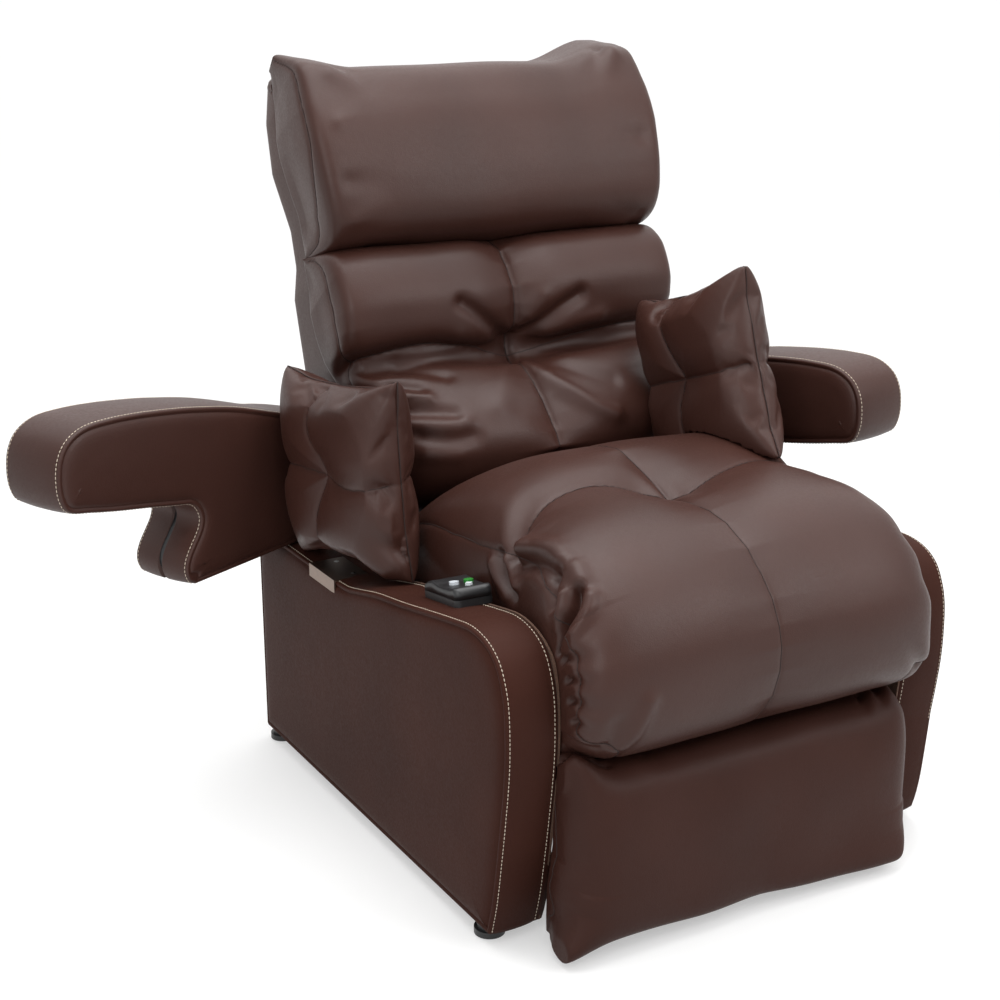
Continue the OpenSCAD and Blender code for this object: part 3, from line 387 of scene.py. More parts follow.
wood = plain_material(
    "board_wood", (0.42, 0.27, 0.14), 0.7, bump=0.2, scale=22.0, stretch=(1, 9, 1), spread=0.25,
)
lining = plain_material("lining_fleece", (0.085, 0.042, 0.026), 0.95, bump=0.9, scale=420.0, spread=0.35)
webbing = woven_material("webbing_black", (0.022, 0.022, 0.024), 0.85, 130.0)
# Near-black for the seam lines: the seam's join, with painted shade of the crease round it
seam_join_and_shade = plain_material("seam_join_and_shade", (0.016, 0.0065, 0.005), 0.8, bump=0.2, scale=800.0)
silver_button = plain_material("button_silver", (0.62, 0.66, 0.70), 0.33, bump=0.03)
green_button = plain_material("button_green", (0.030, 0.24, 0.035), 0.36, bump=0.03)
white_button = plain_material("button_white", (0.72, 0.76, 0.78), 0.38, bump=0.03)

node_looks = {
    painted: [
        "base_frame", "lift_arms", "carriage_frame", "seat_frame", "panel_brackets", "back_frame",
        "legrest_frame",
    ],
    bright: [
        "lift_pivot_pins", "lift_top_pins", "lift_rod", "leg_rod", "back_rod", "back_hinge_pins",
        "leg_hinge_pins", "arm_post_left", "arm_post_right", "arm_bush_left", "arm_bush_right",
        "plate_screws",
    ],
    plate_steel: ["latch_plate_left", "latch_plate_right"],
    grey_plastic: ["lift_motor", "leg_motor", "back_motor"],
    black_plastic: [
        "control_box", "power_inlet", "arm_closure_left", "arm_closure_right", "panel_feet", "handset_base",
    ],
    rubber: ["floor_glides"],
    wood: ["legrest_board"],
    silver_button: ["button_raise"],
    green_button: ["button_lower"],
    white_button: ["button_home"],
    lining: ["side_lining_left", "side_lining_right"],
    webbing: ["seat_webbing", "back_webbing"],
    shaded_panel_leather: ["rear_panel"],
}
for material, names in node_looks.items():
    for node_name in names:
        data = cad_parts[node_name].data
        data.materials.clear()
        data.materials.append(material)

# Softened edges on the metal and plastic that shows
for node_name, width in (
    ("latch_plate_left", 0.0009), ("latch_plate_right", 0.0009), ("panel_feet", 0.0025),
    ("plate_screws", 0.0006), ("handset_base", 0.003), ("button_raise", 0.0008), ("button_lower", 0.0008),
    ("button_home", 0.0006), ("control_box", 0.002), ("power_inlet", 0.001), ("base_frame", 0.0015),
    ("floor_glides", 0.002),
):
    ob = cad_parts[node_name]
    smooth_faces(ob.data)
    edge = ob.modifiers.new("edge", "BEVEL")
    edge.width = width
    edge.segments = 3
    edge.limit_method = "ANGLE"
    edge.angle_limit = math.radians(35)
    edge.harden_normals = True


# Stitches
def stitch_tree():
    """A tree that lays short threads along a mesh line, and the identifiers of its inputs by name."""
    tree = bpy.data.node_groups.new("stitches", "GeometryNodeTree")
    sockets = {}
    for name, kind in (
        ("Geometry", "Geometry"), ("Step", "Float"), ("Length", "Float"), ("Radius", "Float"),
        ("Thread", "Material"),
    ):
        socket = tree.interface.new_socket(name, in_out="INPUT", socket_type="NodeSocket" + kind)
        sockets[name] = socket.identifier
    tree.interface.new_socket("Geometry", in_out="OUTPUT", socket_type="NodeSocketGeometry")
    given = add_node(tree, "NodeGroupInput").outputs
    curve = add_node(tree, "GeometryNodeMeshToCurve", {"Mesh": given["Geometry"]}).outputs["Curve"]
    steps = {"Curve": curve, "Length": given["Step"]}
    spaced = add_node(tree, "GeometryNodeResampleCurve", steps, mode="LENGTH")
    tangent = add_node(tree, "GeometryNodeInputTangent").outputs["Tangent"]
    turn = add_node(tree, "FunctionNodeAlignEulerToVector", {"Vector": tangent}, axis="Z")
    thread = add_node(tree, "GeometryNodeMeshUVSphere", {"Segments": 6, "Rings": 5, "Radius": 1.0})
    half = add_node(tree, "ShaderNodeMath", {0: given["Length"], 1: 0.5}, operation="MULTIPLY")
    size = add_node(tree, "ShaderNodeCombineXYZ", {
        "X": given["Radius"], "Y": given["Radius"], "Z": half.outputs["Value"],
    })
    placed = add_node(tree, "GeometryNodeInstanceOnPoints", {
        "Points": spaced.outputs["Curve"], "Instance": thread.outputs["Mesh"],
        "Rotation": turn.outputs["Rotation"], "Scale": size.outputs["Vector"],
    })
    real = add_node(tree, "GeometryNodeRealizeInstances", {"Geometry": placed.outputs["Instances"]})
    paint = add_node(tree, "GeometryNodeSetMaterial", {
        "Geometry": real.outputs["Geometry"], "Material": given["Thread"],
    })
    add_node(tree, "NodeGroupOutput", {0: paint.outputs["Geometry"]})
    return tree, sockets


stitches, stitch_sockets = stitch_tree()


def stitched(name, lines, body, material, step=0.0062, length=0.0046, radius=0.00065):
    """Real stitches along lines given in metres, riding on a body."""
    verts, edges = [], []
    for line in lines:
        first = len(verts)
        verts += [tuple(p) for p in line]
        edges += [(first + i, first + i + 1) for i in range(len(line) - 1)]
    mesh = bpy.data.meshes.new(name + "_path")
    mesh.from_pydata(verts, edges, [])
    carrier = place_object(name + "_path", mesh)
    sizes = carrier.modifiers.new("stitches", "NODES")
    sizes.node_group = stitches
    for word, value in (("Step", step), ("Length", length), ("Radius", radius), ("Thread", material)):
        sizes[stitch_sockets[word]] = value
    made = shown_mesh(carrier)
    bpy.data.objects.remove(carrier)
    smooth_faces(made)
    ob = place_object(name, made)
    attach(ob, body)
    return ob


# Slabs with a stitched band round the edge: side panels and arms
def outline_normals(line):
    """Inward normals and their mitre factor for a closed outline that runs anticlockwise."""
    before = np.roll(line, 1, axis=0)
    after = np.roll(line, -1, axis=0)
    a = line - before
    b = after - line
    a /= np.linalg.norm(a, axis=1, keepdims=True)
    b /= np.linalg.norm(b, axis=1, keepdims=True)
    na = np.stack([-a[:, 1], a[:, 0]], -1)
    nb = np.stack([-b[:, 1], b[:, 0]], -1)
    n = na + nb
    n /= np.maximum(np.linalg.norm(n, axis=1, keepdims=True), 1e-9)
    mitre = 1 / np.clip((n * na).sum(1), 0.6, 1)
    return n, mitre


def signed_area(line):
    """The area inside a closed outline, negative where it runs clockwise."""
    x, y = line[:, 0], line[:, 1]
    return 0.5 * np.sum(x * np.roll(y, -1) - y * np.roll(x, -1))


def within(ring, points):
    """Which points lie inside a closed ring."""
    a, b = ring, np.roll(ring, -1, axis=0)
    x, y = points[:, :1], points[:, 1:]
    rise = np.where(b[:, 1] == a[:, 1], 1e-9, b[:, 1] - a[:, 1])
    crosses = (a[:, 1] > y) != (b[:, 1] > y)
    before = x < a[:, 0] + (y - a[:, 1]) / rise * (b[:, 0] - a[:, 0])
    return (crosses & before).sum(axis=1) % 2 == 1


def even_fill(ring, step):
    """Triangles that fill a closed ring, with points spread evenly inside it."""
    apart = np.linalg.norm(ring - np.roll(ring, 1, axis=0), axis=1) > 0.03
    ring = ring[apart]
    low, high = ring.min(0), ring.max(0)
    rows_y = np.arange(low[1] + step, high[1], step * 0.87)
    spread = []
    for row, y in enumerate(rows_y):
        xs = np.arange(low[0] + step * (0.5 if row % 2 else 1.0), high[0], step)
        spread.append(np.stack([xs, np.full(len(xs), y)], -1))
    spread = np.concatenate(spread)
    far = to_line(np.concatenate([ring, ring[:1]]), spread) > step * 0.6
    spread = spread[far & within(ring, spread)]
    count = len(ring)
    edges = [(i, (i + 1) % count) for i in range(count)]
    out = delaunay_2d_cdt([Vector(p) for p in np.concatenate([ring, spread])], edges, [], 0, 1e-4)
    points = np.array([tuple(v) for v in out[0]])
    triangles = np.array([tuple(f) for f in out[2]])
    kept = within(ring, points[triangles].mean(axis=1))
    return points, [tuple(int(i) for i in t) for t in triangles[kept]]


def slab(name, outline, rings, material, place, slot=None, crown=2.0, step=22.0, corners=()):
    """rings are (inset, x) pairs from the middle of one face, over the band, to the middle of the other.

    corners are (y, z, inward y, inward z): near each, a ring's points stay inside its square corner.
    slot is a groove round part of the band: its share of depth along the outline, x, half width, depth."""
    line = outline if signed_area(outline) > 0 else outline[::-1]
    n, mitre = outline_normals(line)
    count = len(line)
    verts, faces = [], []
    for inset, x in rings:
        pts = line + n * (inset * np.where(inset < 12, mitre, 1.0))[:, None]
        if slot:
            share, centre, half, deep = slot
            if abs(x - centre) < half and inset < 8:
                pts = pts + n * (deep * share(line))[:, None]
        for y, z, way_y, way_z in corners:
            near = (np.abs(line[:, 0] - y) < inset + 6) & (np.abs(line[:, 1] - z) < inset + 6)
            squared = np.stack([
                way_y * np.maximum(way_y * pts[:, 0], way_y * y + inset),
                way_z * np.maximum(way_z * pts[:, 1], way_z * z + inset),
            ], -1)
            pts = np.where(near[:, None], squared, pts)
        verts.append(np.stack([np.full(count, x), pts[:, 0], pts[:, 1]], -1))
    verts = np.array(verts)
    rows = len(rings)
    faces += ring_faces(rows, count)
    flat = verts.reshape(-1, 3)
    for row in (0, rows - 1):
        ring = verts[row][:, 1:]
        x = rings[row][1]
        points, triangles = even_fill(ring, step)
        deep = to_line(np.concatenate([ring, ring[:1]]), points)
        way = 1 if x > rings[rows // 2][1] else -1
        lift = way * crown * (1 - np.exp(-deep / 45.0))
        faces += [tuple(i + len(flat) for i in t) for t in triangles]
        flat = np.concatenate([flat, np.column_stack([x + lift, points])])
    ob = mesh_from(name, place(flat), faces, material)
    weld(ob, 4e-5)
    return ob, line, n


def open_run(kept):
    """The places of a closed outline that are kept, in order from where the gap ends."""
    order = np.where(kept)[0]
    jumps = np.diff(order)
    return np.roll(order, -(np.argmax(jumps) + 1)) if np.any(jumps > 1) else order


# Side panels: the outline is in (y, z)
PANEL_FOOT = 20.0
PANEL_REAR = 780.0
PANEL_TOP = 382.0
panel_curve = [
    (8, PANEL_FOOT), (-5, 66), (-14, 112), (-28, 198), (-38, 273), (-40, 327), (-36, 378), (-22, 416),
    (-4, 437), (24, 450), (62, 454), (111, 447), (173, 436), (254, 421), (335, 408), (400, 393), (437, 385),
    (480, 382.5),
]
curve = smooth_line(panel_curve, 190)
flat_top = even(np.array([[484, PANEL_TOP], [PANEL_REAR - 4, PANEL_TOP]]), 48)
rear_edge = even(np.array([[PANEL_REAR, PANEL_TOP - 4], [PANEL_REAR, PANEL_FOOT + 4]]), 56)
bottom_edge = even(np.array([[PANEL_REAR - 4, PANEL_FOOT], [14, PANEL_FOOT]]), 120)
panel_outline = np.concatenate([curve, flat_top, rear_edge, bottom_edge])

panel_rings = [
    (40, 384.5), (30, 384.0), (22, 383.2), (15, 381.8), (10.5, 379.6), (8.6, 377.9), (7.6, 377.2),
    (6.6, 377.9), (5.0, 379.0), (3.0, 379.3), (1.4, 378.6), (0.4, 377.0), (0.0, 374.6), (0.1, 372.6),
    (-0.6, 369.5), (-1.3, 362), (-1.8, 352), (-2.0, 340), (-1.8, 328), (-1.2, 318), (-0.5, 311),
    (0.1, 307.6), (0.0, 305.4), (0.5, 302.6), (2.0, 300.8), (4.5, 300.3), (30, 300.3),
]


def panel_place(side):
    def place(p):
        p = p.copy()
        # The foot's inner edge rolls towards the seat: its dark leather stands in as painted shade under the
        # chair, where the pale floor would show
        inner = (p[:, 0] < 303) * unit((170 - p[:, 2]) / 50) * unit((26 - p[:, 1]) / 20)
        p[:, 0] -= 9 * inner
        p[:, 0] *= side
        if side > 0:
            # The right panel's foot stands a little further forward
            p[:, 1] -= 11 * unit((190 - p[:, 2]) / 150) * unit((300 - p[:, 1]) / 280)
        return at(p)
    return place


for side, word in ((-1, "left"), (1, "right")):
    panel, line, n = slab(
        "panel_" + word, panel_outline, panel_rings, shaded_panel_leather, panel_place(side),
        corners=((PANEL_REAR, PANEL_FOOT, -1, 1), (PANEL_REAR, PANEL_TOP, -1, -1), (4, PANEL_FOOT, 1, 1)),
    )
    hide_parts("side_panel_" + word, "side_board_" + word)
    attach(panel, "carriage")
    # The seams run from the front foot over the top to the rear, not along the bottom
    order = open_run(line[:, 1] > PANEL_FOOT + 1.5)
    pts = line[order] - n[order] * 0.25
    threads = [at(np.column_stack([np.full(len(pts), side * x), pts])) for x in (374.2, 306.0)]
    stitched("stitch_panel_" + word, threads, "carriage", cream_thread)


# Arms: outline as [distance from the post, height above the floor]
ARM_REAR = -42
arm_top = [
    (ARM_REAR, 566), (0, 585), (45, 597), (89, 607), (190, 638), (279, 657), (335, 666), (390, 673),
    (443, 677), (492, 676), (524, 663), (541, 641), (547, 612), (544, 582), (530, 562), (492, 552),
    (442, 541), (378, 529), (324, 518), (300, 513), (288, 505), (281, 494), (279, 482), (284, 468),
    (296, 452), (308, 436), (315, 420), (315, 406), (309, 393), (302, 388),
]
arm_curve = smooth_line(arm_top, 300)
arm_bottom = even(np.array([[298, ARM_LOW], [ARM_REAR + 4, ARM_LOW]]), 60)
arm_rear = even(np.array([[ARM_REAR, 391], [ARM_REAR, 562]]), 30)
arm_outline = np.concatenate([arm_curve, arm_bottom, arm_rear])

# Rings as (inset, x from the post): the faces' rolls mirror on the arm's middle, where the slot lies
ARM_MIDDLE = 12.5
arm_roll = [
    (36, 57.1), (28, 56.9), (21, 56.4), (14, 55.4), (10.5, 54.2), (8.8, 52.8), (7.8, 52.1), (6.8, 52.7),
    (5.0, 53.7), (3.0, 54.0), (1.4, 53.3), (0.4, 51.7), (0.0, 49.7), (-0.3, 47.1),
]
arm_crown = [
    (-1.2, -28), (-2.0, -18), (-2.6, -6), (-2.8, 6), (-2.8, 7.6), (-2.8, 8.1), (-2.8, 8.6),
    (-2.8, ARM_MIDDLE), (-2.8, 16.4), (-2.8, 16.9), (-2.8, 17.4), (-2.8, 20), (-2.6, 32), (-2.0, 44),
    (-1.2, 54),
]
arm_rings = [(inset, ARM_MIDDLE - far) for inset, far in arm_roll] + arm_crown
arm_rings += [(inset, ARM_MIDDLE + far) for inset, far in reversed(arm_roll)]


def block_front(line):
    """1 along the block's front below the arm, fading to 0 at both ends."""
    r, z = line[:, 0], line[:, 1]
    near = (r > 272) & (r < 330)
    share = unit((516 - z) / 10) * unit((z - 386) / 4)
    return np.where(near, share, 0.0)


def arm_place(side, turn_deg):
    turn = math.radians(turn_deg)

    def place(p):
        x, r, z = p[:, 0], p[:, 1], np.maximum(p[:, 2], ARM_LOW - 0.1)
        rear = unit(r / ARM_REAR)
        x = x * np.sqrt(unit(1 - rear**2 * 0.96))
        ax = POST_X + x * math.cos(turn) + r * math.sin(turn)
        ay = POST_Y + x * math.sin(turn) - r * math.cos(turn)
        return at(np.stack([side * ax, ay, z], -1))
    return place


for side, word, opened in ((-1, "left", 64.5), (1, "right", 11.0)):
    place = arm_place(side, opened)
    arm, line, n = slab(
        "arm_pad_" + word, arm_outline, arm_rings, arm_leather, place, (block_front, ARM_MIDDLE, 4.3, 9.0),
        corners=((ARM_REAR, ARM_LOW, 1, 1), (300, ARM_LOW, -1, 1)),
    )
    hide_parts("arm_" + word)
    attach(arm, word + "_arm")
    order = open_run(line[:, 1] > ARM_LOW + 1.2)
    pts = line[order] - n[order] * 0.35
    threads = [place(np.column_stack([np.full(len(pts), x), pts])) for x in (-36.4, 61.6)]
    stitched("stitch_arm_" + word, threads, word + "_arm", cream_thread)


# Cushion sheets: base points, top points and a cross-section that rises from the sides
def rounded(power, high):
    """Half a rounded section from its outer foot (1, 0) to the middle of its top (0, 1)."""
    a = np.linspace(0, math.pi / 2, 400)
    return even(np.stack([np.cos(a) ** (2 / power), np.sin(a) ** (2 / high)], -1), 160)


def section(left, right, aspect, count):
    """Evenly spaced points over a section from left to right, as (x share, height share)."""
    x = np.concatenate([-left[:, 0], right[::-1, 0][1:]])
    h = np.concatenate([left[:, 1], right[::-1, 1][1:]])
    line = even(np.stack([x * aspect, h], -1), count)
    return line[:, 0] / aspect, line[:, 1]


class Sheet:
    """A cushion's top: a grid of points over a path, and a field of heights that shapes it.

    base and top hold the path's rows of two coordinates each, left and right each row's half sections.
    A place on the sheet is (along the path, across from its middle), in millimetres."""

    def __init__(self, base, top, half, left, right, cols):
        rows = len(base)
        self.grid = np.zeros((rows, cols, 3))
        self.across = np.zeros((rows, cols))
        self.shares = np.zeros((rows, cols))
        for i in range(rows):
            deep = max(np.linalg.norm(top[i] - base[i]), 1.0)
            x, h = section(left[i], right[i], half[i] / deep, cols)
            self.grid[i, :, 0] = x * half[i]
            self.grid[i, :, 1:] = base[i] + (top[i] - base[i]) * h[:, None]
            self.shares[i] = h
            run = run_along(self.grid[i])
            self.across[i] = run - np.interp(0.0, self.grid[i, :, 0], run)
        self.along = run_along(top)
        self.length = self.along[-1]
        self.places = np.stack([np.repeat(self.along[:, None], cols, 1), self.across], -1)
        self.field = np.zeros((rows, cols))

    def fold(self, start, end, high, wide, spread=1.8):
        """A fold that is tight at its start and fades out towards its end."""
        self.field += fold(start, end, self.places, high, wide, spread)

    def fold_line(self, points, high, wide, count=24):
        """A fold along a smooth line."""
        self.field += high * bell(to_line(smooth_line(points, count), self.places), wide)

    def groove(self, sides, deep, wide, share=1.0):
        """Sewn grooves along the sides, given by how far across they lie at each row."""
        for k in (0, 1):
            line = np.stack([self.along, sides[:, k]], -1)[::3]
            self.field -= deep * np.exp(-to_line(line, self.places) / wide) * share

    def press(self, way, along=9):
        """Moves the grid along its normals; way is -1 where they point inwards."""
        lift = self.field * margins(*self.field.shape, along)
        self.grid = self.grid + way * grid_normals(self.grid) * lift[..., None]

    def seam(self, line, lift, count):
        """A seam's points in metres, a little off the leather, from a line in (along, across)."""
        points, normals = on_grid(self.grid, self.along, self.across, even(np.asarray(line, float), count))
        return at(points + normals * lift)

    def side_seam(self, across_at, first, last, lift, count):
        """The seam along one side between two places along the cushion."""
        s = np.linspace(first, last, 120)
        return self.seam(np.stack([s, np.interp(s, self.along, across_at)], -1), lift, count)


def side_seams(shares, across, level):
    """How far across each row's section passes its height share, on the left and on the right."""
    found = []
    for i in range(len(shares)):
        left = across[i] < 0
        right = ~left
        a = np.interp(level[i], shares[i, left], across[i, left])
        b = np.interp(level[i], shares[i, right][::-1], across[i, right][::-1])
        found.append((a, b))
    return np.array(found)


def margins(rows, cols, along=9, wide=8):
    """1 inside a grid, falling to 0 at its edges."""
    i = np.minimum(np.arange(rows), np.arange(rows)[::-1])
    j = np.minimum(np.arange(cols), np.arange(cols)[::-1])
    return unit(i / along)[:, None] * unit(j / wide)[None, :]


def valley(distance, deep, broad, tight, share=0.55):
    """The hollow beside a sewn seam: a broad bowl with a sharper middle."""
    return -deep * (share * bell(distance, broad) + (1 - share) * np.exp(-distance / tight))


def on_grid(grid, along, across, line):
    """Points of a line given in (along, across), on the grid, with the normals there."""
    normals = grid_normals(grid)
    found, lifts = [], []
    for s, c in line:
        i = np.interp(s, along, np.arange(len(along)))
        i0 = int(min(i, len(along) - 2))
        t = i - i0
        rows = []
        for k in (i0, i0 + 1):
            j = np.interp(c, across[k], np.arange(across.shape[1]))
            j0 = int(min(j, across.shape[1] - 2))
            u = j - j0
            rows.append((
                grid[k, j0] * (1 - u) + grid[k, j0 + 1] * u,
                normals[k, j0] * (1 - u) + normals[k, j0 + 1] * u,
            ))
        found.append(rows[0][0] * (1 - t) + rows[1][0] * t)
        lifts.append(rows[0][1] * (1 - t) + rows[1][1] * t)
    return np.array(found), np.array(lifts)


# The long pad from the seat over the knee: the rows of its underside, its top and its centre seam, as (y, z)
pad_base = [
    (545, 381), (542, 381), (528, 381), (508, 381), (482, 381), (455, 381), (425, 381), (390, 381),
    (350, 381), (310, 381), (272, 381), (232, 381), (196, 381), (164, 381), (136, 381), (108, 381),
    (84, 379), (62, 376), (42, 373), (26, 370), (12, 366), (2, 361), (-6, 354), (-12, 345), (-15, 334),
    (-17, 322), (-18, 310), (-19, 300), (-20, 291), (-21, 284), (-22, 280), (-22, 276), (-22, 270),
]
pad_top = [
    (546, 384), (553, 408), (545, 440), (520, 466), (486, 494), (450, 521), (412, 546), (370, 567),
    (335, 578), (300, 585), (270, 588), (235, 586), (195, 579), (163, 573), (136, 570), (104, 569),
    (66, 567), (30, 562), (-4, 552), (-40, 534), (-68, 512), (-90, 488), (-107, 461), (-119, 433),
    (-124, 405), (-124, 376), (-121, 350), (-115, 328), (-104, 308), (-88, 292), (-66, 280), (-42, 273),
    (-24, 268),
]
pad_centre = [
    (360, 570), (320, 582), (290, 587), (273, 586), (227, 571), (182, 556), (143, 544), (130, 547),
    (89, 553), (48, 554), (9, 548), (-39, 527), (-71, 498), (-95, 471), (-112, 438), (-120, 411),
    (-120, 376), (-109, 336), (-92, 309), (-71, 285), (-50, 277),
]
PAD_ROWS = 340
PAD_COLS = 280
share_in = run_along(np.array(pad_top, float))
share_in /= share_in[-1]
stations = np.linspace(0, 1, PAD_ROWS)
base, top = (
    np.stack([lookup(np.column_stack([share_in, np.array(line, float)[:, k]]), stations) for k in (0, 1)], -1)
    for line in (pad_base, pad_top)
)
ty, tz = top[:, 0], top[:, 1]
# The seat's top, down to where the front turns under
upper = (ty > -70) & (tz > 400)
half = np.where(
    upper,
    np.interp(
        -ty, [-550, -520, -450, -350, -150, -100, -60, -20, 30, 70],
        [256, 264, 269, 272, 271, 273, 280, 287, 294, 296],
    ),
    np.interp(-tz, [-470, -330, -268], [296, 296, 292]),
)


def by_depth(places, values, below):
    """A value at depths along the seat's top, and a constant one down the front."""
    return np.where(upper, np.interp(-ty, places, values), below)


LEFT_AT = [-540, -360, -260, -150, -60, 60]
RIGHT_AT = [-540, -360, -300, -220, -60, 60]
left_power = by_depth(LEFT_AT, [3.4, 3.4, 3.8, 4.5, 6.5, 7.0], 7.0)
left_high = by_depth(LEFT_AT, [3.2, 3.2, 3.4, 3.8, 5.0, 5.5], 5.0)
right_power = by_depth(RIGHT_AT, [2.8, 3.2, 6.0, 8.0, 8.0, 8.0], 8.0)
right_high = by_depth(RIGHT_AT, [2.5, 2.8, 5.0, 6.0, 6.0, 6.0], 6.0)
pad_left = [rounded(a, b) for a, b in zip(left_power, left_high)]
pad_right = [rounded(a, b) for a, b in zip(right_power, right_high)]
pad = Sheet(base, top, half, pad_left, pad_right, PAD_COLS)
tuft_s = float(np.interp(-143, -ty[upper], pad.along[upper]))
q = pad.places

# The boxing seam's height share: by depth on the seat, and by height down the front
level = np.where(
    upper,
    np.interp(
        -ty, [-545, -382, -312, -240, -167, -120, -60, 0, 60],
        [0.6, 0.54, 0.52, 0.545, 0.63, 0.68, 0.70, 0.68, 0.66],
    ),
    np.interp(
        -tz, [-470, -430, -383, -362, -346, -329, -316, -268], [0.66, 0.6, 0.54, 0.52, 0.56, 0.70, 0.93, 0.97]
    ),
)
pad_box = side_seams(pad.shares, pad.across, level)
edge_row = int(np.argmin(np.abs(pad.along - (tuft_s - 8))))
end_left = (pad.along[edge_row], pad_box[edge_row, 0])
end_right = (pad.along[edge_row], pad_box[edge_row, 1])
cross_left = smooth_line([
    (tuft_s, 0), (tuft_s - 20, -30), (tuft_s - 34, -60), (tuft_s - 44, -96), (tuft_s - 44, -136),
    (tuft_s - 37, -180), (tuft_s - 28, -214), (tuft_s - 20, -248), (tuft_s - 14, -272), end_left,
], 60)
cross_right = smooth_line([
    (tuft_s, 0), (tuft_s + 2, 20), (tuft_s - 6, 62), (tuft_s - 24, 125), (tuft_s - 34, 184),
    (tuft_s - 28, 240), (tuft_s - 16, 272), end_right,
], 60)
inner = unit((pad_box[:, 1:2] - np.abs(pad.across)) / 45)
end_fade = unit(pad.along / 60)[:, None] * unit((pad.length - pad.along) / 30)[:, None]
tuft_d = np.sqrt((q[..., 0] - tuft_s) ** 2 + q[..., 1] ** 2)
cross_d = np.minimum(to_line(cross_left[::2], q), to_line(cross_right[::2], q))

# The centre seam lies where the photograph shows it
centre_deep = np.clip(to_line(np.array(pad_centre, float), top), 0, 30)
centre_deep *= unit((pad.along - 190) / 90) * unit((pad.length - pad.along) / 60)
pad.field += valley(np.abs(pad.across), 1.0, 52, 15) * centre_deep[:, None]
cross_deep = (6.5 + 9 * bell(tuft_d, 80)) * (1 - 0.8 * bell(pad.across, 22))
pad.field += valley(cross_d, 1.0, 36, 13) * cross_deep
pad.field -= 1.5 * np.exp(-np.minimum(cross_d, np.abs(pad.across)) / 1.6) * end_fade
pad.field -= 3 * bell(tuft_d, 16)
pad.groove(pad_box, 3.0, 3.4, end_fade)


def at_seam(offset, side, share=1.0):
    """A place on the boxing seam, a given way along from the tuft."""
    s = tuft_s + offset
    c = float(np.interp(s, pad.along, pad_box[:, 0 if side < 0 else 1]))
    return s, c * share


def fold_at(offset, side, share, move, inwards, high, wide, spread=1.8):
    """A fold that starts at the boxing seam and runs inwards over the top."""
    s, c = at_seam(offset, side, share)
    pad.fold((s, c), (s + move, c - side * inwards), high, wide, spread)


# Where the cross seam meets the boxing the cover is pinched
for side, force in ((-1, 1.0), (1, 0.5)):
    fold_at(-10, side, 1.0, -70, 110, -12 * force, 15)
    fold_at(-22, side, 1.0, -82, 90, 7 * force, 14)
    fold_at(-4, side, 1.0, -20, 90, -9 * force, 12)
    fold_at(8, side, 0.99, 26, 84, 9 * force, 20)
    fold_at(-4, side, 1.0, 0, -55, -9 * force, 12)
# Folds on the knee's left side, as (along, across) places on the pad, with their height and width
for points, high, wide in (
    ([(508, -272), (531, -268), (572, -261), (611, -258), (632, -262)], 11, 15),
    ([(662, -258), (684, -262)], 10, 15),
    ([(520, -296), (560, -288), (600, -286), (640, -284)], -10, 12),
    ([(640, -282), (652, -300), (668, -318)], -9, 10),
    ([(468, -296), (486, -314), (504, -328), (526, -340)], -12, 8),
    ([(456, -312), (476, -330), (496, -344)], 7, 9),
    ([(486, -298), (508, -312), (530, -324)], 7, 9),
    ([(696, -272), (706, -280), (716, -292), (720, -312), (730, -328), (738, -344)], -19, 7.5),
    ([(716, -262), (730, -272), (742, -290), (748, -308)], 11, 12),
    ([(684, -292), (696, -306), (704, -326)], 9, 10),
    ([(880, -214), (926, -232), (952, -252)], 6, 13), ([(905, -258), (936, -262), (958, -276)], -6, 15),
):
    pad.fold_line(points, high, wide)
for a, b, high, wide in (
    ((738, -334), (802, -262), 10, 13), ((780, -334), (840, -258), 10, 13),
    ((818, -336), (872, -250), 9, 12), ((860, -330), (928, -240), 9, 13), ((900, -314), (948, -260), 6, 11),
    ((760, -338), (812, -272), -10, 10), ((800, -338), (850, -276), -10, 10),
    ((840, -338), (890, -268), -9, 10), ((884, -324), (932, -266), -8, 10),
):
    pad.fold(a, b, high, wide)
for offset, move, inwards, high, wide in (
    (40, 10, 80, -3, 12), (75, 14, 70, 3, 12), (120, 12, 80, -3.5, 11), (160, 14, 70, 3, 11),
    (205, 10, 76, -4, 10), (240, 10, 66, 3.5, 10), (280, 10, 70, -4, 10), (320, 6, 60, 3.5, 10),
    (360, 2, 60, -3.5, 10), (400, -6, 50, 3, 10),
):
    fold_at(offset, 1, 1.02, move, inwards, high, wide, 1.7)
# A pulled corner low on the front's right
fold_at(436, 1, 0.98, -60, 50, -6, 12)
fold_at(420, 1, 0.97, -50, 70, 4, 14)
# Soft folds from the tuft
for angle, reach, high in (
    (205, 120, 3), (226, 100, -3), (152, 120, -3), (135, 130, 3), (24, 110, 2), (-24, 110, -2),
):
    a = math.radians(angle)
    pad.fold((tuft_s, 0), (tuft_s + reach * math.cos(a), reach * math.sin(a)), high, 15, 2.2)
pad.field += ripple(pad.places, 3, 210, 1.2) * inner * end_fade
pad.press(1)
# The lower left corner is lifted, and the panels stand close at both sides
x, y, z = (pad.grid[..., k] for k in (0, 1, 2))
lifted = unit((-x - 225) / 70) ** 2 * bell(z - 284, 30)
z += 34 * lifted * unit((-y - 18) / 20)
pad_limit = np.interp(y, [60, 150], [296.6, 273.8])
x[:] = np.clip(x, -pad_limit, pad_limit)
long_pad = cushion_mesh("long_pad", pad.grid, leather)
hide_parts("seat_cushion", "knee_cushion")

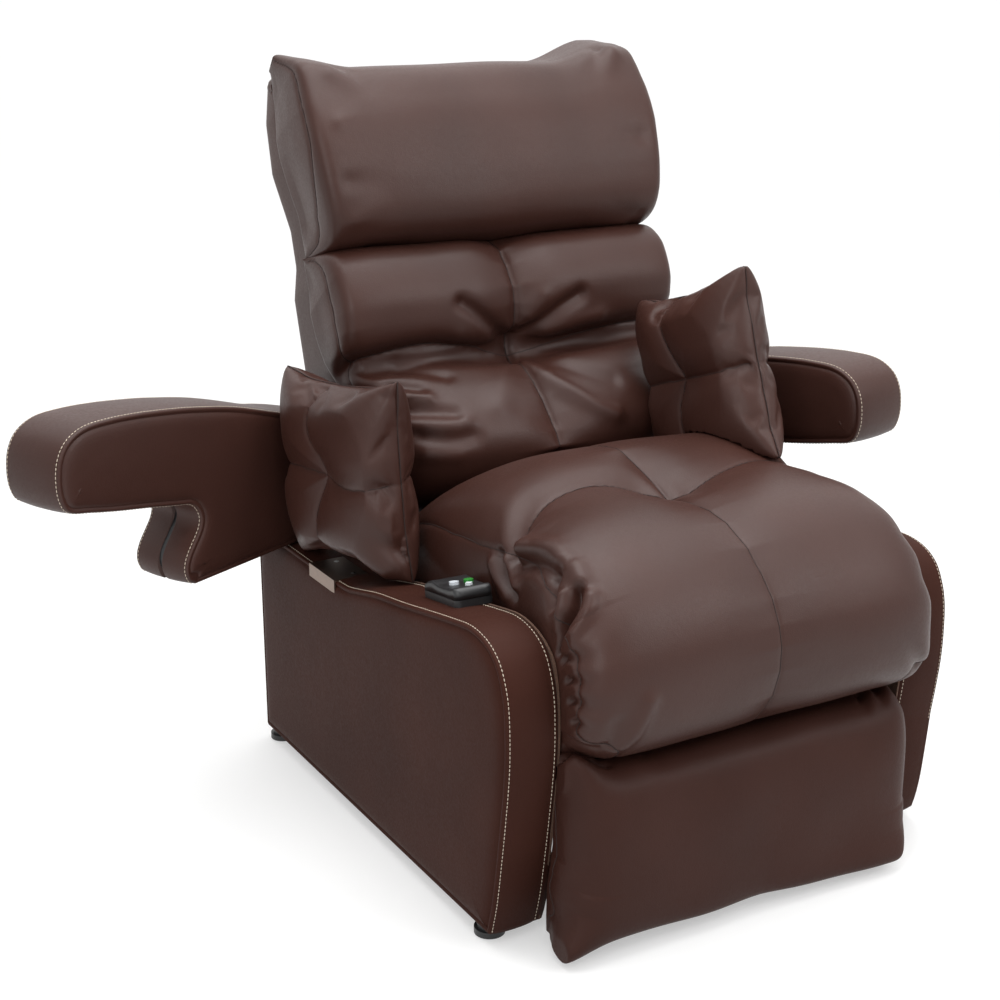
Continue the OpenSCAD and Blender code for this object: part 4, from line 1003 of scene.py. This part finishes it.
# Calf pad
calf_rows = 150
calf_cols = 220
calf_base = [(-23, 22), (-23, 60), (-23, 110), (-23, 160), (-23, 205), (-23, 240), (-24, 262)]
calf_top = [
    (-26, 21), (-62, 20), (-90, 20.5), (-106, 28), (-113, 46), (-116, 80), (-117, 118), (-117, 155),
    (-114, 190), (-107, 222), (-95, 248), (-74, 262), (-50, 266), (-28, 265),
]
calf_b = smooth_line(calf_base, calf_rows)
calf_t = smooth_line(calf_top, calf_rows)
calf_half = np.interp(np.linspace(0, 1, calf_rows), [0, 0.1, 0.25, 0.8, 1], [296, 297, 297, 297, 295])
calf_round = even(smooth_line(
    [(1, 0), (1.012, 0.12), (1.008, 0.34), (0.985, 0.58), (0.94, 0.8), (0.86, 0.94), (0.74, 0.99), (0.5, 1),
     (0, 1)], 400
), 160)
calf_square = rounded(22.0, 12.0)
calf_mix = np.interp(calf_t[:, 1], [20, 34, 70, 200], [0, 0.15, 0.8, 1]) * (calf_t[:, 0] < -80)
calf_mix = np.where(calf_t[:, 1] > 100, 1.0, calf_mix)
calf_ends = [calf_square * (1 - k) + calf_round * k for k in calf_mix]
calf = Sheet(calf_b, calf_t, calf_half, calf_ends, calf_ends, calf_cols)
q = calf.places
x, y, z = (calf.grid[..., k] for k in (0, 1, 2))
# The bottom edge rises a little to the left, its right corner is round and its left one hangs as a dog ear
low_share = bell(np.maximum(z - 20, 0), 34)
z += 5.0 * low_share * unit(-x / 250) * unit((y + 30) / -60)
x -= (17 + 6 * low_share) * unit(x / 290) ** 3
round_right = unit((x - 225) / 55)
x -= 46 * round_right**2 * (1 - np.sqrt(unit((z - 20) / 64))) ** 1.3
ear = bell(x + 298, 30) * bell(y + 90, 36) * bell(z - 22, 28)
z -= 20 * ear
x -= 28 * ear
top_ear = bell(x + 300, 40) * bell(y + 66, 44) * bell(z - 262, 34)
z += 44 * top_ear
x -= 9 * unit(-x / 290) ** 3 * unit((150 - z) / 60)
low_right = unit(x / 250) * bell(np.maximum(z - 20, 0), 40)
z -= 8 * low_right * unit((y + 30) / -50)
y -= 15 * low_right * unit((y + 30) / -60)
side_c = np.interp(
    calf.along, [0, 9, 53, 103, 185, 253, 305, 355, 380], [296, 299, 344, 363, 348, 349, 345, 312, 296]
)
calf_side = np.stack([-side_c, side_c], -1)
calf.groove(calf_side, 2.4, 4.0)
for s_far, c, reach, high, wide in (
    (calf.length - 14, 236, 55, 7, 9), (calf.length - 16, 218, 50, -8, 7),
    (calf.length - 14, 255, 55, -7, 8), (calf.length - 18, 272, 60, 7, 12),
    (calf.length - 10, -200, 70, 4, 20), (calf.length - 16, -170, 60, -3, 16),
):
    calf.fold((s_far, c), (s_far - reach, c * 0.93 - 6 * np.sign(c)), high, wide, 1.5)
# The rolled corner at the top left
calf.fold_line([
    (calf.length - 62, -318), (calf.length - 30, -312), (calf.length - 8, -296), (calf.length - 4, -274),
    (calf.length - 12, -254),
], 8, 9)
calf.fold_line([
    (calf.length - 34, -300), (calf.length - 20, -284), (calf.length - 22, -262), (calf.length - 30, -238),
], -11, 5.5, 20)
calf.fold((calf.length - 50, -300), (calf.length - 60, -250), 8, 15)
calf.fold((24, -286), (76, -262), 6, 14)
calf.fold((12, -270), (60, -236), -7, 11)
calf.field += ripple(q, 5, 180, 1.3)
calf.press(-1, 5)
x, y, z = (calf.grid[..., k] for k in (0, 1, 2))
x[:] = np.clip(x, np.where((y < -60) | (z < 140), -318, -300), 300)
z[:] = np.maximum(z, 3)
calf_pad = cushion_mesh("calf_cushion", calf.grid, shaded_calf_leather)
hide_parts("calf_pad")
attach(calf_pad, "legrest")


# Back cushion, drawn on the leaning back as (forwards of the hinge plane, up along it)
back_rows = 230
back_cols = 220
back_top = smooth_line(
    [(31, 9), (66, 10), (120, 21), (168, 44), (196, 72), (206, 98), (204, 124), (193, 154), (172, 187),
     (143, 217), (118, 240), (126, 254), (147, 279), (161, 312), (166, 342), (160, 378), (147, 408),
     (122, 428), (70, 438), (31, 439)],
    back_rows,
)
back_base = smooth_line([(31, 9), (31, 120), (31, 240), (31, 340), (31, 437)], back_rows)
w_at = back_top[:, 1]
back_half = np.interp(
    w_at, [20, 60, 150, 190, 240, 270, 300, 330, 392, 437], [266, 270, 270, 273, 290, 300, 304, 307, 309, 304]
)
back_square = even(smooth_line(
    [(1, 0), (1.002, 0.25), (1.006, 0.5), (1.0, 0.76), (0.975, 0.91), (0.91, 0.975), (0.72, 1), (0.4, 1),
     (0, 1)], 400
), 160)
back_round = rounded(4.0, 3.4)
squareness = np.interp(w_at, [20, 180, 235, 300], [0, 0.1, 0.7, 1])
back_ends = [back_round * (1 - k) + back_square * k for k in squareness]
back = Sheet(back_base, back_top, back_half, back_ends, back_ends, back_cols)
back.grid = back_place(back.grid)
crease_s = float(np.interp(242, w_at, back.along))
q = back.places
centre_d = np.abs(back.across)
back_centre = [
    (200, 60), (197, 73), (194, 93), (184, 124), (171, 154), (149, 187), (118, 217), (94, 241), (103, 253),
    (124, 279), (138, 314), (143, 342), (135, 377), (117, 411), (89, 430), (60, 436),
]
centre_deep = np.clip(to_line(np.array(back_centre, float), back_top), 0, 30)
centre_deep *= unit((back.along - 60) / 60)
back.field += valley(centre_d, 1.15, 46, 9, 0.6) * centre_deep[:, None]
back.field -= 2.6 * np.exp(-centre_d / 3.0)
cross = [
    (crease_s + 11, -316), (crease_s + 7, -270), (crease_s + 14, -228), (crease_s + 20, -190),
    (crease_s + 22, -152), (crease_s + 15, -115), (crease_s + 5, -69), (crease_s + 1, -31), (crease_s, 0),
    (crease_s + 1, 44), (crease_s + 3, 81), (crease_s + 5, 126), (crease_s + 9, 176), (crease_s + 14, 217),
    (crease_s + 16, 261), (crease_s + 16, 305),
]
cross_line = smooth_line(cross, 50)
cross_d = to_line(cross_line[::3], q)
back.field += valley(cross_d, 21, 24, 8, 0.55) * (1 - 0.7 * bell(back.across, 24))
tuft_d = np.sqrt((q[..., 0] - crease_s) ** 2 + q[..., 1] ** 2)
back.field -= 3 * bell(tuft_d, 16)
for points, high, wide in (
    ([(9, -14), (24, -26), (63, -67), (93, -106)], -10, 13),
    ([(6, 1), (13, 9), (34, 34), (66, 73), (86, 112)], -11, 13), ([(20, 60), (38, 110), (44, 150)], 6, 17),
    ([(60, 20), (90, 40)], 5, 16), ([(18, -60), (36, -110)], 5, 18),
    ([(-18, 4), (-55, 16), (-91, 32), (-138, 72), (-161, 109)], 9, 16),
    ([(-30, 40), (-70, 80), (-100, 130)], -5, 18), ([(-20, -30), (-70, -60), (-120, -90)], 5, 22),
    ([(-6, -213), (-24, -180), (-40, -150)], -6, 14), ([(-109, -240), (-116, -198), (-124, -170)], -6, 14),
    ([(-134, -236), (-142, -196), (-140, -160)], 6, 15),
    ([(-156, -232), (-166, -189), (-164, -150)], -6, 14), ([(-184, -226), (-190, -180)], 4, 16),
    ([(-76, -236), (-88, -200)], 7, 13), ([(-44, -244), (-62, -206)], -6, 12),
):
    back.fold_line([(crease_s + s, c) for s, c in points], high, wide, 16)
side_c = np.interp(
    back.along, [0, 344, 393, 440, 487, 531, 583, 640], [312, 315, 316, 330, 344, 345, 330, 312]
)
back_side = np.stack([-side_c, side_c], -1)
back.groove(back_side, 2.4, 3.0)
back.field += ripple(q, 8, 170, 1.4)
back.press(-1)
back_pad = cushion_mesh("back_pad", back.grid, leather)
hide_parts("back_cushion")
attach(back_pad, "back")

# Head cushion, drawn the same way
head_rows = 170
head_cols = 240
head_top = smooth_line(
    [(31, 437), (72, 431), (118, 432), (152, 444), (173, 472), (183, 516), (186, 562), (185, 608), (176, 650),
     (158, 694), (130, 711), (98, 721), (60, 732), (31, 740)],
    head_rows,
)
head_base = smooth_line([(31, 437), (31, 520), (31, 600), (31, 690), (31, 739)], head_rows)
head_half = np.interp(
    head_top[:, 1], [437, 476, 520, 590, 640, 700, 748], [299, 304, 308, 313, 313, 308, 300]
)
head_square = even(smooth_line(
    [(1, 0), (1.006, 0.25), (1.012, 0.5), (1.01, 0.76), (1.0, 0.885), (0.975, 0.96), (0.9, 0.99), (0.6, 1),
     (0, 1)], 400
), 160)
head_ends = [head_square] * head_rows
head = Sheet(head_base, head_top, head_half, head_ends, head_ends, head_cols)
x, n, w = (head.grid[..., k] for k in (0, 1, 2))
x_share = x / 312.0
w_share = unit((w - 437) / 300)
n_share = unit((n - 31) / 26)
# Ears at the upper corners, and a hollow along the top between them
right_ear = unit((x_share - 0.48) / 0.36)
left_ear = unit((-x_share - 0.66) / 0.3)
ear_share = np.where(x_share > 0, right_ear, left_ear)
w += np.where(x_share > 0, 36, 28) * ear_share**1.5 * (1.5 - 0.5 * ear_share**2) * w_share**4 * n_share
head.grid = back_place(head.grid)
side_c = np.interp(
    head.along, [0, 86, 146, 188, 229, 272, 316, 346, 385, 443, 534],
    [300, 323, 356, 349, 340, 329, 329, 328, 323, 316, 305],
)
head_side = np.stack([-side_c, side_c], -1)
head.groove(head_side, 3.0, 3.2)
for s, c, ds, dc, high, wide in (
    (150, -268, 20, 70, 3.5, 14), (210, -270, 0, 80, -3.5, 14), (300, -270, 10, 60, 3, 14),
    (380, -262, -30, 60, 5, 16), (402, -240, -60, 40, -5, 12), (402, 240, -60, -40, -6, 12),
    (388, 262, -40, -60, 6, 15), (120, 262, 20, -90, -4, 14), (96, 240, 10, -90, 4, 12),
    (80, -230, 10, 90, -3, 12), (250, 270, 10, -70, -3, 15),
):
    head.fold((s, c), (s + ds, c + dc), high, wide)
head.field += ripple(head.places, 12, 220, 1.6)
head.press(-1)
head_pad = cushion_mesh("head_pad", head.grid, leather)
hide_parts("head_cushion")
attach(head_pad, "back")

# Upholstered shell behind the back
shell_line = np.array([(30, 22), (-120, 24), (-123, 40), (-20, 732), (-8, 739), (16, 739), (30, 735)], float)
shell_points = np.concatenate([
    even(shell_line[0:2], 20), even(shell_line[2:4], 90), even(shell_line[4:6], 6),
    even(np.array([(30, 735), (30, 26)]), 80),
])
SHELL_HALF = 271
shell_half_rings = [(0, 150), (0, 262), (1.5, 266), (4, 268.5), (8, 270), (14, 270.8), (24, SHELL_HALF)]
shell_rings = [(inset, -x) for inset, x in reversed(shell_half_rings)] + [(0, 0)] + shell_half_rings


def shell_place(p):
    """Widens the shell where the back and the head swell over its edge."""
    wide = np.interp(
        p[:, 2], [22, 150, 230, 262, 390, 440, 500, 590, 670, 724],
        [264, 268, 276, 288, 292, 282, 284, 304, 304, 294],
    )
    return at(back_place(np.column_stack([p[:, 0] * wide / SHELL_HALF, p[:, 1:]])))


shell, line, n = slab("back_cover", shell_points, shell_rings, leather, shell_place, crown=1.0)
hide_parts("back_shell")
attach(shell, "back")


# Loose pillows
def inflated(ob, voxel, pressure, cap):
    """Remeshes a closed cushion and swells it as cloth, with no point moved beyond the cap."""
    remesh = ob.modifiers.new("remesh", "REMESH")
    remesh.mode = "VOXEL"
    remesh.voxel_size = voxel
    even_mesh = shown_mesh(ob)
    work = place_object(ob.name + "_cloth", even_mesh)
    settings = work.modifiers.new("cloth", "CLOTH").settings
    settings.use_pressure = True
    settings.uniform_pressure_force = pressure
    settings.effector_weights.gravity = 0
    settings.tension_stiffness = 18
    settings.compression_stiffness = 18
    settings.bending_stiffness = 0.6
    settings.quality = 5
    for number in range(1, 21):
        bpy.context.scene.frame_set(number)
    done = shown_mesh(work)
    start = vertex_places(even_mesh)
    moved = vertex_places(done) - start
    far = np.linalg.norm(moved, axis=1, keepdims=True)
    places = start + moved * np.minimum(1, cap / np.maximum(far, 1e-9))
    done.vertices.foreach_set("co", places.ravel())
    bpy.data.objects.remove(work)
    bpy.context.scene.frame_set(1)
    ob.modifiers.clear()
    ob.data = done
    calm = ob.modifiers.new("calm", "SMOOTH")
    calm.factor = 0.5
    calm.iterations = 5
    finer = ob.modifiers.new("finer", "SUBSURF")
    finer.levels = 1
    finer.render_levels = 1
    fine_mesh = shown_mesh(ob)
    ob.modifiers.clear()
    ob.data = fine_mesh
    smooth_faces(fine_mesh)


def vertex_places(mesh):
    places = np.empty(len(mesh.vertices) * 3)
    mesh.vertices.foreach_get("co", places)
    return places.reshape(-1, 3)


def vertex_normals(mesh):
    normals = np.empty(len(mesh.vertices) * 3)
    mesh.vertex_normals.foreach_get("vector", normals)
    return normals.reshape(-1, 3)


def pillow_mesh(name, centre, yaw, lean, wide, high, thick, seams, folds, floor_at=None):
    """A stuffed pillow. seams and folds are in its own (up, back) millimetres, and show on its left face."""
    count = 64
    t = np.linspace(-1, 1, count)
    u = np.sign(t) * (1 - (1 - np.abs(t)) ** 1.35)
    uu, vv = np.meshgrid(u, u, indexing="ij")
    y = wide / 2 * vv * (1 - 0.012 * (1 - uu**2) * np.abs(vv) ** 1.5)
    z = high / 2 * uu * (1 - 0.055 * (1 - vv**2) * np.abs(uu) ** 1.5)
    full = (1 - np.abs(uu) ** 4) ** 0.5 * (1 - np.abs(vv) ** 4) ** 0.5
    sheets = [np.stack([way * (2 + (0.8 * thick / 2 - 2) * full), y, z], -1) for way in (-1, 1)]
    verts = np.concatenate([s.reshape(-1, 3) for s in sheets])
    faces = grid_faces(count, count) + grid_faces(count, count, count * count, True)
    rim = [i * count for i in range(count)] + [(count - 1) * count + i for i in range(1, count)]
    rim += [i * count + count - 1 for i in range(count - 2, -1, -1)] + list(range(count - 2, 0, -1))
    far = count * count
    faces += [(a, b, b + far, a + far) for a, b in zip(rim, rim[1:] + rim[:1])]
    ob = mesh_from(name, verts / 1000, faces, leather)
    weld(ob)
    inflated(ob, 0.005, 4.0, 0.014)
    p = vertex_places(ob.data) * 1000
    n = vertex_normals(ob.data)
    left = n[:, 0] < 0
    q = p[:, [2, 1]]
    flat = unit(1.6 * np.abs(n[:, 0]))
    lift = np.zeros(len(p))
    for lines, side in ((seams, left), (plain_seams, ~left)):
        d = np.full(len(p), 1e9)
        for line in lines:
            d = np.minimum(d, to_line(smooth_line(line, 24), q))
        middle = lines[0][-1]
        tuft = np.linalg.norm(q - np.array(middle), axis=1)
        hollow = valley(d, 9, 24, 6, 0.6) - 1.4 * np.exp(-d / 1.8) - 8 * bell(tuft, 38)
        lift += np.where(side, hollow * flat, 0)
    for a, b, deep, broad in folds:
        lift += np.where(left, fold(a, b, q, deep, broad, 1.7), 0)
    lift += ripple(q, 17, 110, 0.9) * flat
    lift -= 2.2 * np.exp(-np.abs(p[:, 0]) / 2.6) * (1 - flat)
    p = p + n * lift[:, None]
    a, b = math.radians(-lean), math.radians(yaw)

    def placed(v):
        ry = v[..., 1] * math.cos(a) - v[..., 2] * math.sin(a)
        rz = v[..., 1] * math.sin(a) + v[..., 2] * math.cos(a)
        rx = v[..., 0] * math.cos(b) - ry * math.sin(b)
        back_y = v[..., 0] * math.sin(b) + ry * math.cos(b)
        spot = np.stack([rx, back_y, rz], -1) + np.array(centre)
        if floor_at:
            spot[..., 2] = np.maximum(spot[..., 2], floor_at(spot))
        return spot

    ob.data.vertices.foreach_set("co", at(placed(p)).ravel())
    ob.data.update()
    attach(ob, "carriage")
    lines = []
    for line in seams:
        fine = smooth_line(line, 50)
        index = [int(np.argmin(np.where(left, ((q - spot) ** 2).sum(1), 1e9))) for spot in fine]
        lines.append(at(placed(smooth_line(p[index][::3], 60))))
    turn = np.arctan2(p[:, 2], p[:, 1])
    reach = np.hypot(p[:, 1], p[:, 2]) - 40 * (np.abs(p[:, 0]) > 3)
    rim_index = []
    for k in range(120):
        gap = np.abs((turn - (k * 2 * math.pi / 120 - math.pi) + math.pi) % (2 * math.pi) - math.pi)
        rim_index.append(int(np.argmax(np.where(gap < 0.035, reach, -1e9))))
    rim_line = p[rim_index] * np.array([0, 1, 1])
    lines.append(at(placed(np.concatenate([rim_line, rim_line[:1]]))))
    return ob, lines


def pad_height(p):
    """How high the long pad's top lies below a point."""
    near = pad.grid[::6, ::6].reshape(-1, 3)
    near = near[near[:, 2] > 430]
    gap = p.reshape(-1, 3)[:, None, :2] - near[None, :, :2]
    best = np.argmin((gap**2).sum(-1), axis=1)
    return (near[best, 2] + 2.5).reshape(p.shape[:-1])


plain_seams = [
    [(150, 0), (70, 8), (0, 0)], [(-150, 0), (-70, -4), (0, 0)], [(0, -146), (0, -60), (0, 0)],
    [(0, 146), (0, 60), (0, 0)],
]
left_seams = [
    [(146, 16), (100, 32), (60, 34), (24, 10), (0, 0)], [(-146, 30), (-100, 38), (-55, 26), (-14, 6), (0, 0)],
    [(2, 150), (8, 90), (4, 26), (0, 0)], [(0, -146), (-8, -110), (-12, -60), (-8, -22), (0, 0)],
]
left_folds = [
    ((-104, -148), (-66, -90), -11, 12), ((-132, -112), (-104, -60), 8, 16),
    ((128, -132), (88, -112), -5, 12),
]
right_seams = [
    [(146, 30), (100, 40), (50, 22), (0, 0)], [(-146, 10), (-90, 24), (-40, 20), (0, 0)],
    [(0, 146), (2, 80), (0, 0)], [(0, -146), (-2, -70), (0, 0)],
]
pillow_r, pillow_r_lines = pillow_mesh(
    "pillow_pad_right", (217, 353, 656), 0, 20.5, 302, 310, 108, right_seams, [], pad_height
)
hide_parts("pillow_right")
pillow_l, pillow_l_lines = pillow_mesh(
    "pillow_pad_left", (-341, 500, 545.6), 10, 5.5, 302, 312, 100, left_seams, left_folds
)
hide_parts("pillow_left")


# Sewn seams: a near-black tube in each groove, for the seam's join and the painted shade in its crease
def seam_tube(name, lines, material, radius=0.0007):
    verts, faces = [], []
    for line in lines:
        line = np.asarray(line)
        ahead = np.gradient(line, axis=0)
        ahead /= np.maximum(np.linalg.norm(ahead, axis=1, keepdims=True), 1e-12)
        side = np.cross(ahead, np.where(np.abs(ahead[:, 2:]) < 0.8, [[0, 0, 1.0]], [[1.0, 0, 0]]))
        side /= np.linalg.norm(side, axis=1, keepdims=True)
        over = np.cross(ahead, side)
        first = len(verts)
        for i in range(len(line)):
            for k in range(5):
                turn = k * 2 * math.pi / 5
                verts.append(line[i] + radius * (math.cos(turn) * side[i] + math.sin(turn) * over[i]))
        for i in range(len(line) - 1):
            for k in range(5):
                a, b = first + i * 5 + k, first + i * 5 + (k + 1) % 5
                faces.append((a, a + 5, b + 5, b))
        faces.append(tuple(first + k for k in range(5)))
        faces.append(tuple(first + (len(line) - 1) * 5 + k for k in reversed(range(5))))
    ob = mesh_from(name, verts, faces, material)
    weld(ob)
    return ob


pad_end = pad.length - 30
back_end = back.length - 30
seams_of = {
    "seams_long_pad": [
        pad.seam([(170, 0), (tuft_s, 0)], 0.1, 120), pad.seam([(tuft_s, 0), (pad.length - 26, 0)], 0.1, 260),
        pad.seam(cross_left, 0.1, 130), pad.seam(cross_right, 0.1, 130),
        *(pad.side_seam(pad_box[:, k], 60, pad_end, 0.1, 330) for k in (0, 1)),
    ],
    "seams_back": [
        back.seam([(70, 0), (crease_s, 0)], -0.1, 120), back.seam([(crease_s, 0), (back_end, 0)], -0.1, 120),
        back.seam(cross_line, -0.1, 160),
        *(back.side_seam(back_side[:, k], 40, back_end, -0.1, 160) for k in (0, 1)),
    ],
    "seams_head": [head.side_seam(head_side[:, k], 30, head.length - 24, -0.1, 160) for k in (0, 1)],
    "seams_calf": [calf.side_seam(calf_side[:, k], 20, calf.length - 20, -0.1, 140) for k in (0, 1)],
    "seams_pillow_right": pillow_r_lines,
    "seams_pillow_left": pillow_l_lines,
}
seams = {name: seam_tube(name, lines, seam_join_and_shade) for name, lines in seams_of.items()}
for name, body in (
    ("seams_back", "back"), ("seams_head", "back"), ("seams_calf", "legrest"),
    ("seams_pillow_right", "carriage"), ("seams_pillow_left", "carriage"),
):
    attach(seams[name], body)
for ob in (pillow_l, seams["seams_pillow_left"]):
    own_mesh(ob)

# Handset cover with raised ends, on the base's own slope
HAND_AT = np.array([-318.0, 148.0, 442.0])
HAND_W, HAND_L, HAND_R = 58.0, 112.0, 9.0


def on_handset(p):
    """A point of the handset, from its front edge, in chair millimetres."""
    a, b = math.radians(-9.9), math.radians(-3.0)
    y = p[:, 1] * math.cos(a) - p[:, 2] * math.sin(a)
    z = p[:, 1] * math.sin(a) + p[:, 2] * math.cos(a)
    x = p[:, 0] * math.cos(b) - y * math.sin(b)
    y = p[:, 0] * math.sin(b) + y * math.cos(b)
    return np.stack([x, y, z], -1) + HAND_AT


corner = []
for way_x, way_y, start in ((1, 0, -90), (1, 1, 0), (-1, 1, 90), (-1, 0, 180)):
    middle = np.array([way_x * (HAND_W / 2 - HAND_R), HAND_L - HAND_R if way_y else HAND_R])
    for turn in np.radians(np.linspace(start, start + 90, 10)):
        corner.append(middle + HAND_R * np.array([math.cos(turn), math.sin(turn)]))
hand_outline = even(np.array(corner + corner[:1]), 121)[:-1]
hand_middle = np.array([0, HAND_L / 2])


def deck(y):
    """Height of the handset's top along its length: raised at both ends, hollow where the buttons are."""
    places = [0, 5, 10, 16, 24, 60, 72, 80, 92, HAND_L]
    return np.interp(y, places, [24.0, 26.4, 26.8, 25.2, 23.8, 23.8, 26.2, 27.2, 25, 18])


# Each ring's share of the outline and its drop below the deck, from the rim up; the first is the cover's foot
HAND_FOOT = 10.4
hand_rings = [np.column_stack([hand_outline, np.full(len(hand_outline), HAND_FOOT)])]
for share, drop in (
    (1.0, 7), (0.985, 3.2), (0.955, 1.2), (0.91, 0.3), (0.84, 0), (0.7, 0), (0.52, 0), (0.34, 0), (0.16, 0),
):
    ring = hand_middle + (hand_outline - hand_middle) * share
    hand_rings.append(np.column_stack([ring, deck(ring[:, 1]) - drop]))
hand_count = len(hand_outline)
hand_verts = np.concatenate(hand_rings + [np.array([[hand_middle[0], hand_middle[1], deck(hand_middle[1])]])])
hand_faces = ring_faces(len(hand_rings), hand_count)
top_ring = (len(hand_rings) - 1) * hand_count
for j in range(hand_count):
    hand_faces.append((top_ring + j, top_ring + (j + 1) % hand_count, len(hand_verts) - 1))
hand_faces.append(tuple(range(hand_count - 1, -1, -1)))
hand_top = mesh_from("handset_top", at(on_handset(hand_verts)), hand_faces, black_plastic)
weld(hand_top)
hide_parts("handset_cover")
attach(hand_top, "carriage")

# The handset's cord
cord_points = at(np.array([
    (-311.7, 267.4, 426.2), (-309, 279, 423.5), (-305, 290, 421.5), (-299, 299, 420), (-293.5, 306, 415),
    (-290, 310, 405), (-288, 312, 390), (-287, 313, 365), (-286, 313, 340), (-285, 313, 316),
    (-283, 314, 290), (-281, 315, 264), (-279, 316, 238), (-276, 318, 212), (-270, 320, 188),
    (-260, 324, 167), (-244, 330, 150), (-224, 338, 140), (-200, 348, 134), (-176, 360, 132),
    (-150, 374, 132), (-126, 388, 133), (-102, 400, 135), (-80, 412, 140), (-60, 422, 148), (-42, 430, 160),
    (-28, 436, 174), (-18, 439, 188), (-12, 440.67, 199), (-12, 440.67, 210.5),
]))
cord_curve = bpy.data.curves.new("cord_line", "CURVE")
cord_curve.dimensions = "3D"
cord_curve.bevel_depth = 0.003
cord_curve.bevel_resolution = 4
cord_curve.use_fill_caps = True
cord_spline = cord_curve.splines.new("POLY")
cord_path = smooth_line(cord_points, 160)
cord_spline.points.add(len(cord_path) - 1)
for point, place in zip(cord_spline.points, cord_path):
    point.co = (*place, 1)
cord_spline.use_smooth = True
cord_curve.materials.append(black_plastic)
cord = place_object("cord_to_handset", cord_curve)
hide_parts("handset_cord")
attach(cord, "carriage")

# The long pad runs from the seat over the knee; it and its seams have their placing baked into their meshes
for ob in (long_pad, seams["seams_long_pad"]):
    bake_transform(ob)

# Camera at the photograph's viewpoint
CAMERA_AT = (-1.399, -1.824, 1.308)
CAMERA_YAW = math.radians(30.08)
CAMERA_DOWN = math.radians(17.88)
camera_data = bpy.data.cameras.new("camera")
camera_data.lens = 62.3
camera_data.sensor_width = 36.0
camera = place_object("camera", camera_data)
camera.location = CAMERA_AT
ahead = math.cos(CAMERA_DOWN)
aim = Vector((math.sin(CAMERA_YAW) * ahead, math.cos(CAMERA_YAW) * ahead, -math.sin(CAMERA_DOWN)))
camera.rotation_mode = "QUATERNION"
camera.rotation_quaternion = aim.to_track_quat("-Z", "Y")
bpy.context.scene.camera = camera

# Floor and light
def pale_to_camera(tree, bright, otherwise=0.0):
    """A strength that is bright for what the camera and reflections see, and otherwise the given one."""
    path = add_node(tree, "ShaderNodeLightPath").outputs
    total = path["Is Camera Ray"]
    for name in ("Is Glossy Ray", "Is Transmission Ray"):
        either = {0: total, 1: path[name]}
        total = add_node(tree, "ShaderNodeMath", either, operation="MAXIMUM").outputs["Value"]
    inputs = {"Value": total, "To Min": otherwise, "To Max": bright}
    return add_node(tree, "ShaderNodeMapRange", inputs).outputs["Result"]


floor_mat = plain_material("floor_pale", (0.56, 0.56, 0.557), 0.8, bump=0.01, scale=30.0, spread=0.01)
floor_tree = floor_mat.node_tree
fill_inputs(floor_tree, floor_tree.nodes["Principled BSDF"], {
    "Emission Color": (1, 1, 1, 1), "Emission Strength": pale_to_camera(floor_tree, 0.43),
})
REACH = 70
corners = [(-REACH, -REACH, 0), (REACH, -REACH, 0), (REACH, REACH, 0), (-REACH, REACH, 0)]
floor = mesh_from("floor", corners, [(0, 1, 2, 3)], floor_mat)
floor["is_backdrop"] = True


def lamp(name, place, target, size, power, size_y=None):
    data = bpy.data.lights.new(name, "AREA")
    data.shape = "RECTANGLE"
    data.size = size
    data.size_y = size_y or size
    data.energy = power
    ob = place_object(name, data)
    ob.location = place
    ob.rotation_mode = "QUATERNION"
    ob.rotation_quaternion = (Vector(target) - Vector(place)).to_track_quat("-Z", "Y")


lamp("key", (1.7, -2.2, 2.5), (0, 0.2, 0.6), 2.0, 40, 1.6)
lamp("left", (-2.7, -1.9, 2.2), (0, 0.2, 0.5), 1.8, 36)
lamp("top", (0, 0.3, 3.2), (0, 0.3, 0), 2.5, 64)
lamp("top_front", (0.2, -1.6, 3.2), (0, 0, 0.5), 2.2, 7)
sky = bpy.data.lights.new("sky", "SUN")
sky.energy = 1.6
sky.angle = math.radians(95)
sky_object = place_object("sky", sky)
sky_object.rotation_euler = (math.radians(-14), math.radians(10), 0)
world = bpy.data.worlds.new("studio")
world.use_nodes = True
fill_inputs(world.node_tree, world.node_tree.nodes["Background"], {
    "Color": (1, 1, 1, 1), "Strength": pale_to_camera(world.node_tree, 1.0, 0.42),
})
bpy.context.scene.world = world
bpy.context.scene.view_settings.view_transform = "Standard"

low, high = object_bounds()
{"cad": [list(cad_low), list(cad_high)], "visual": [list(low), list(high)]}
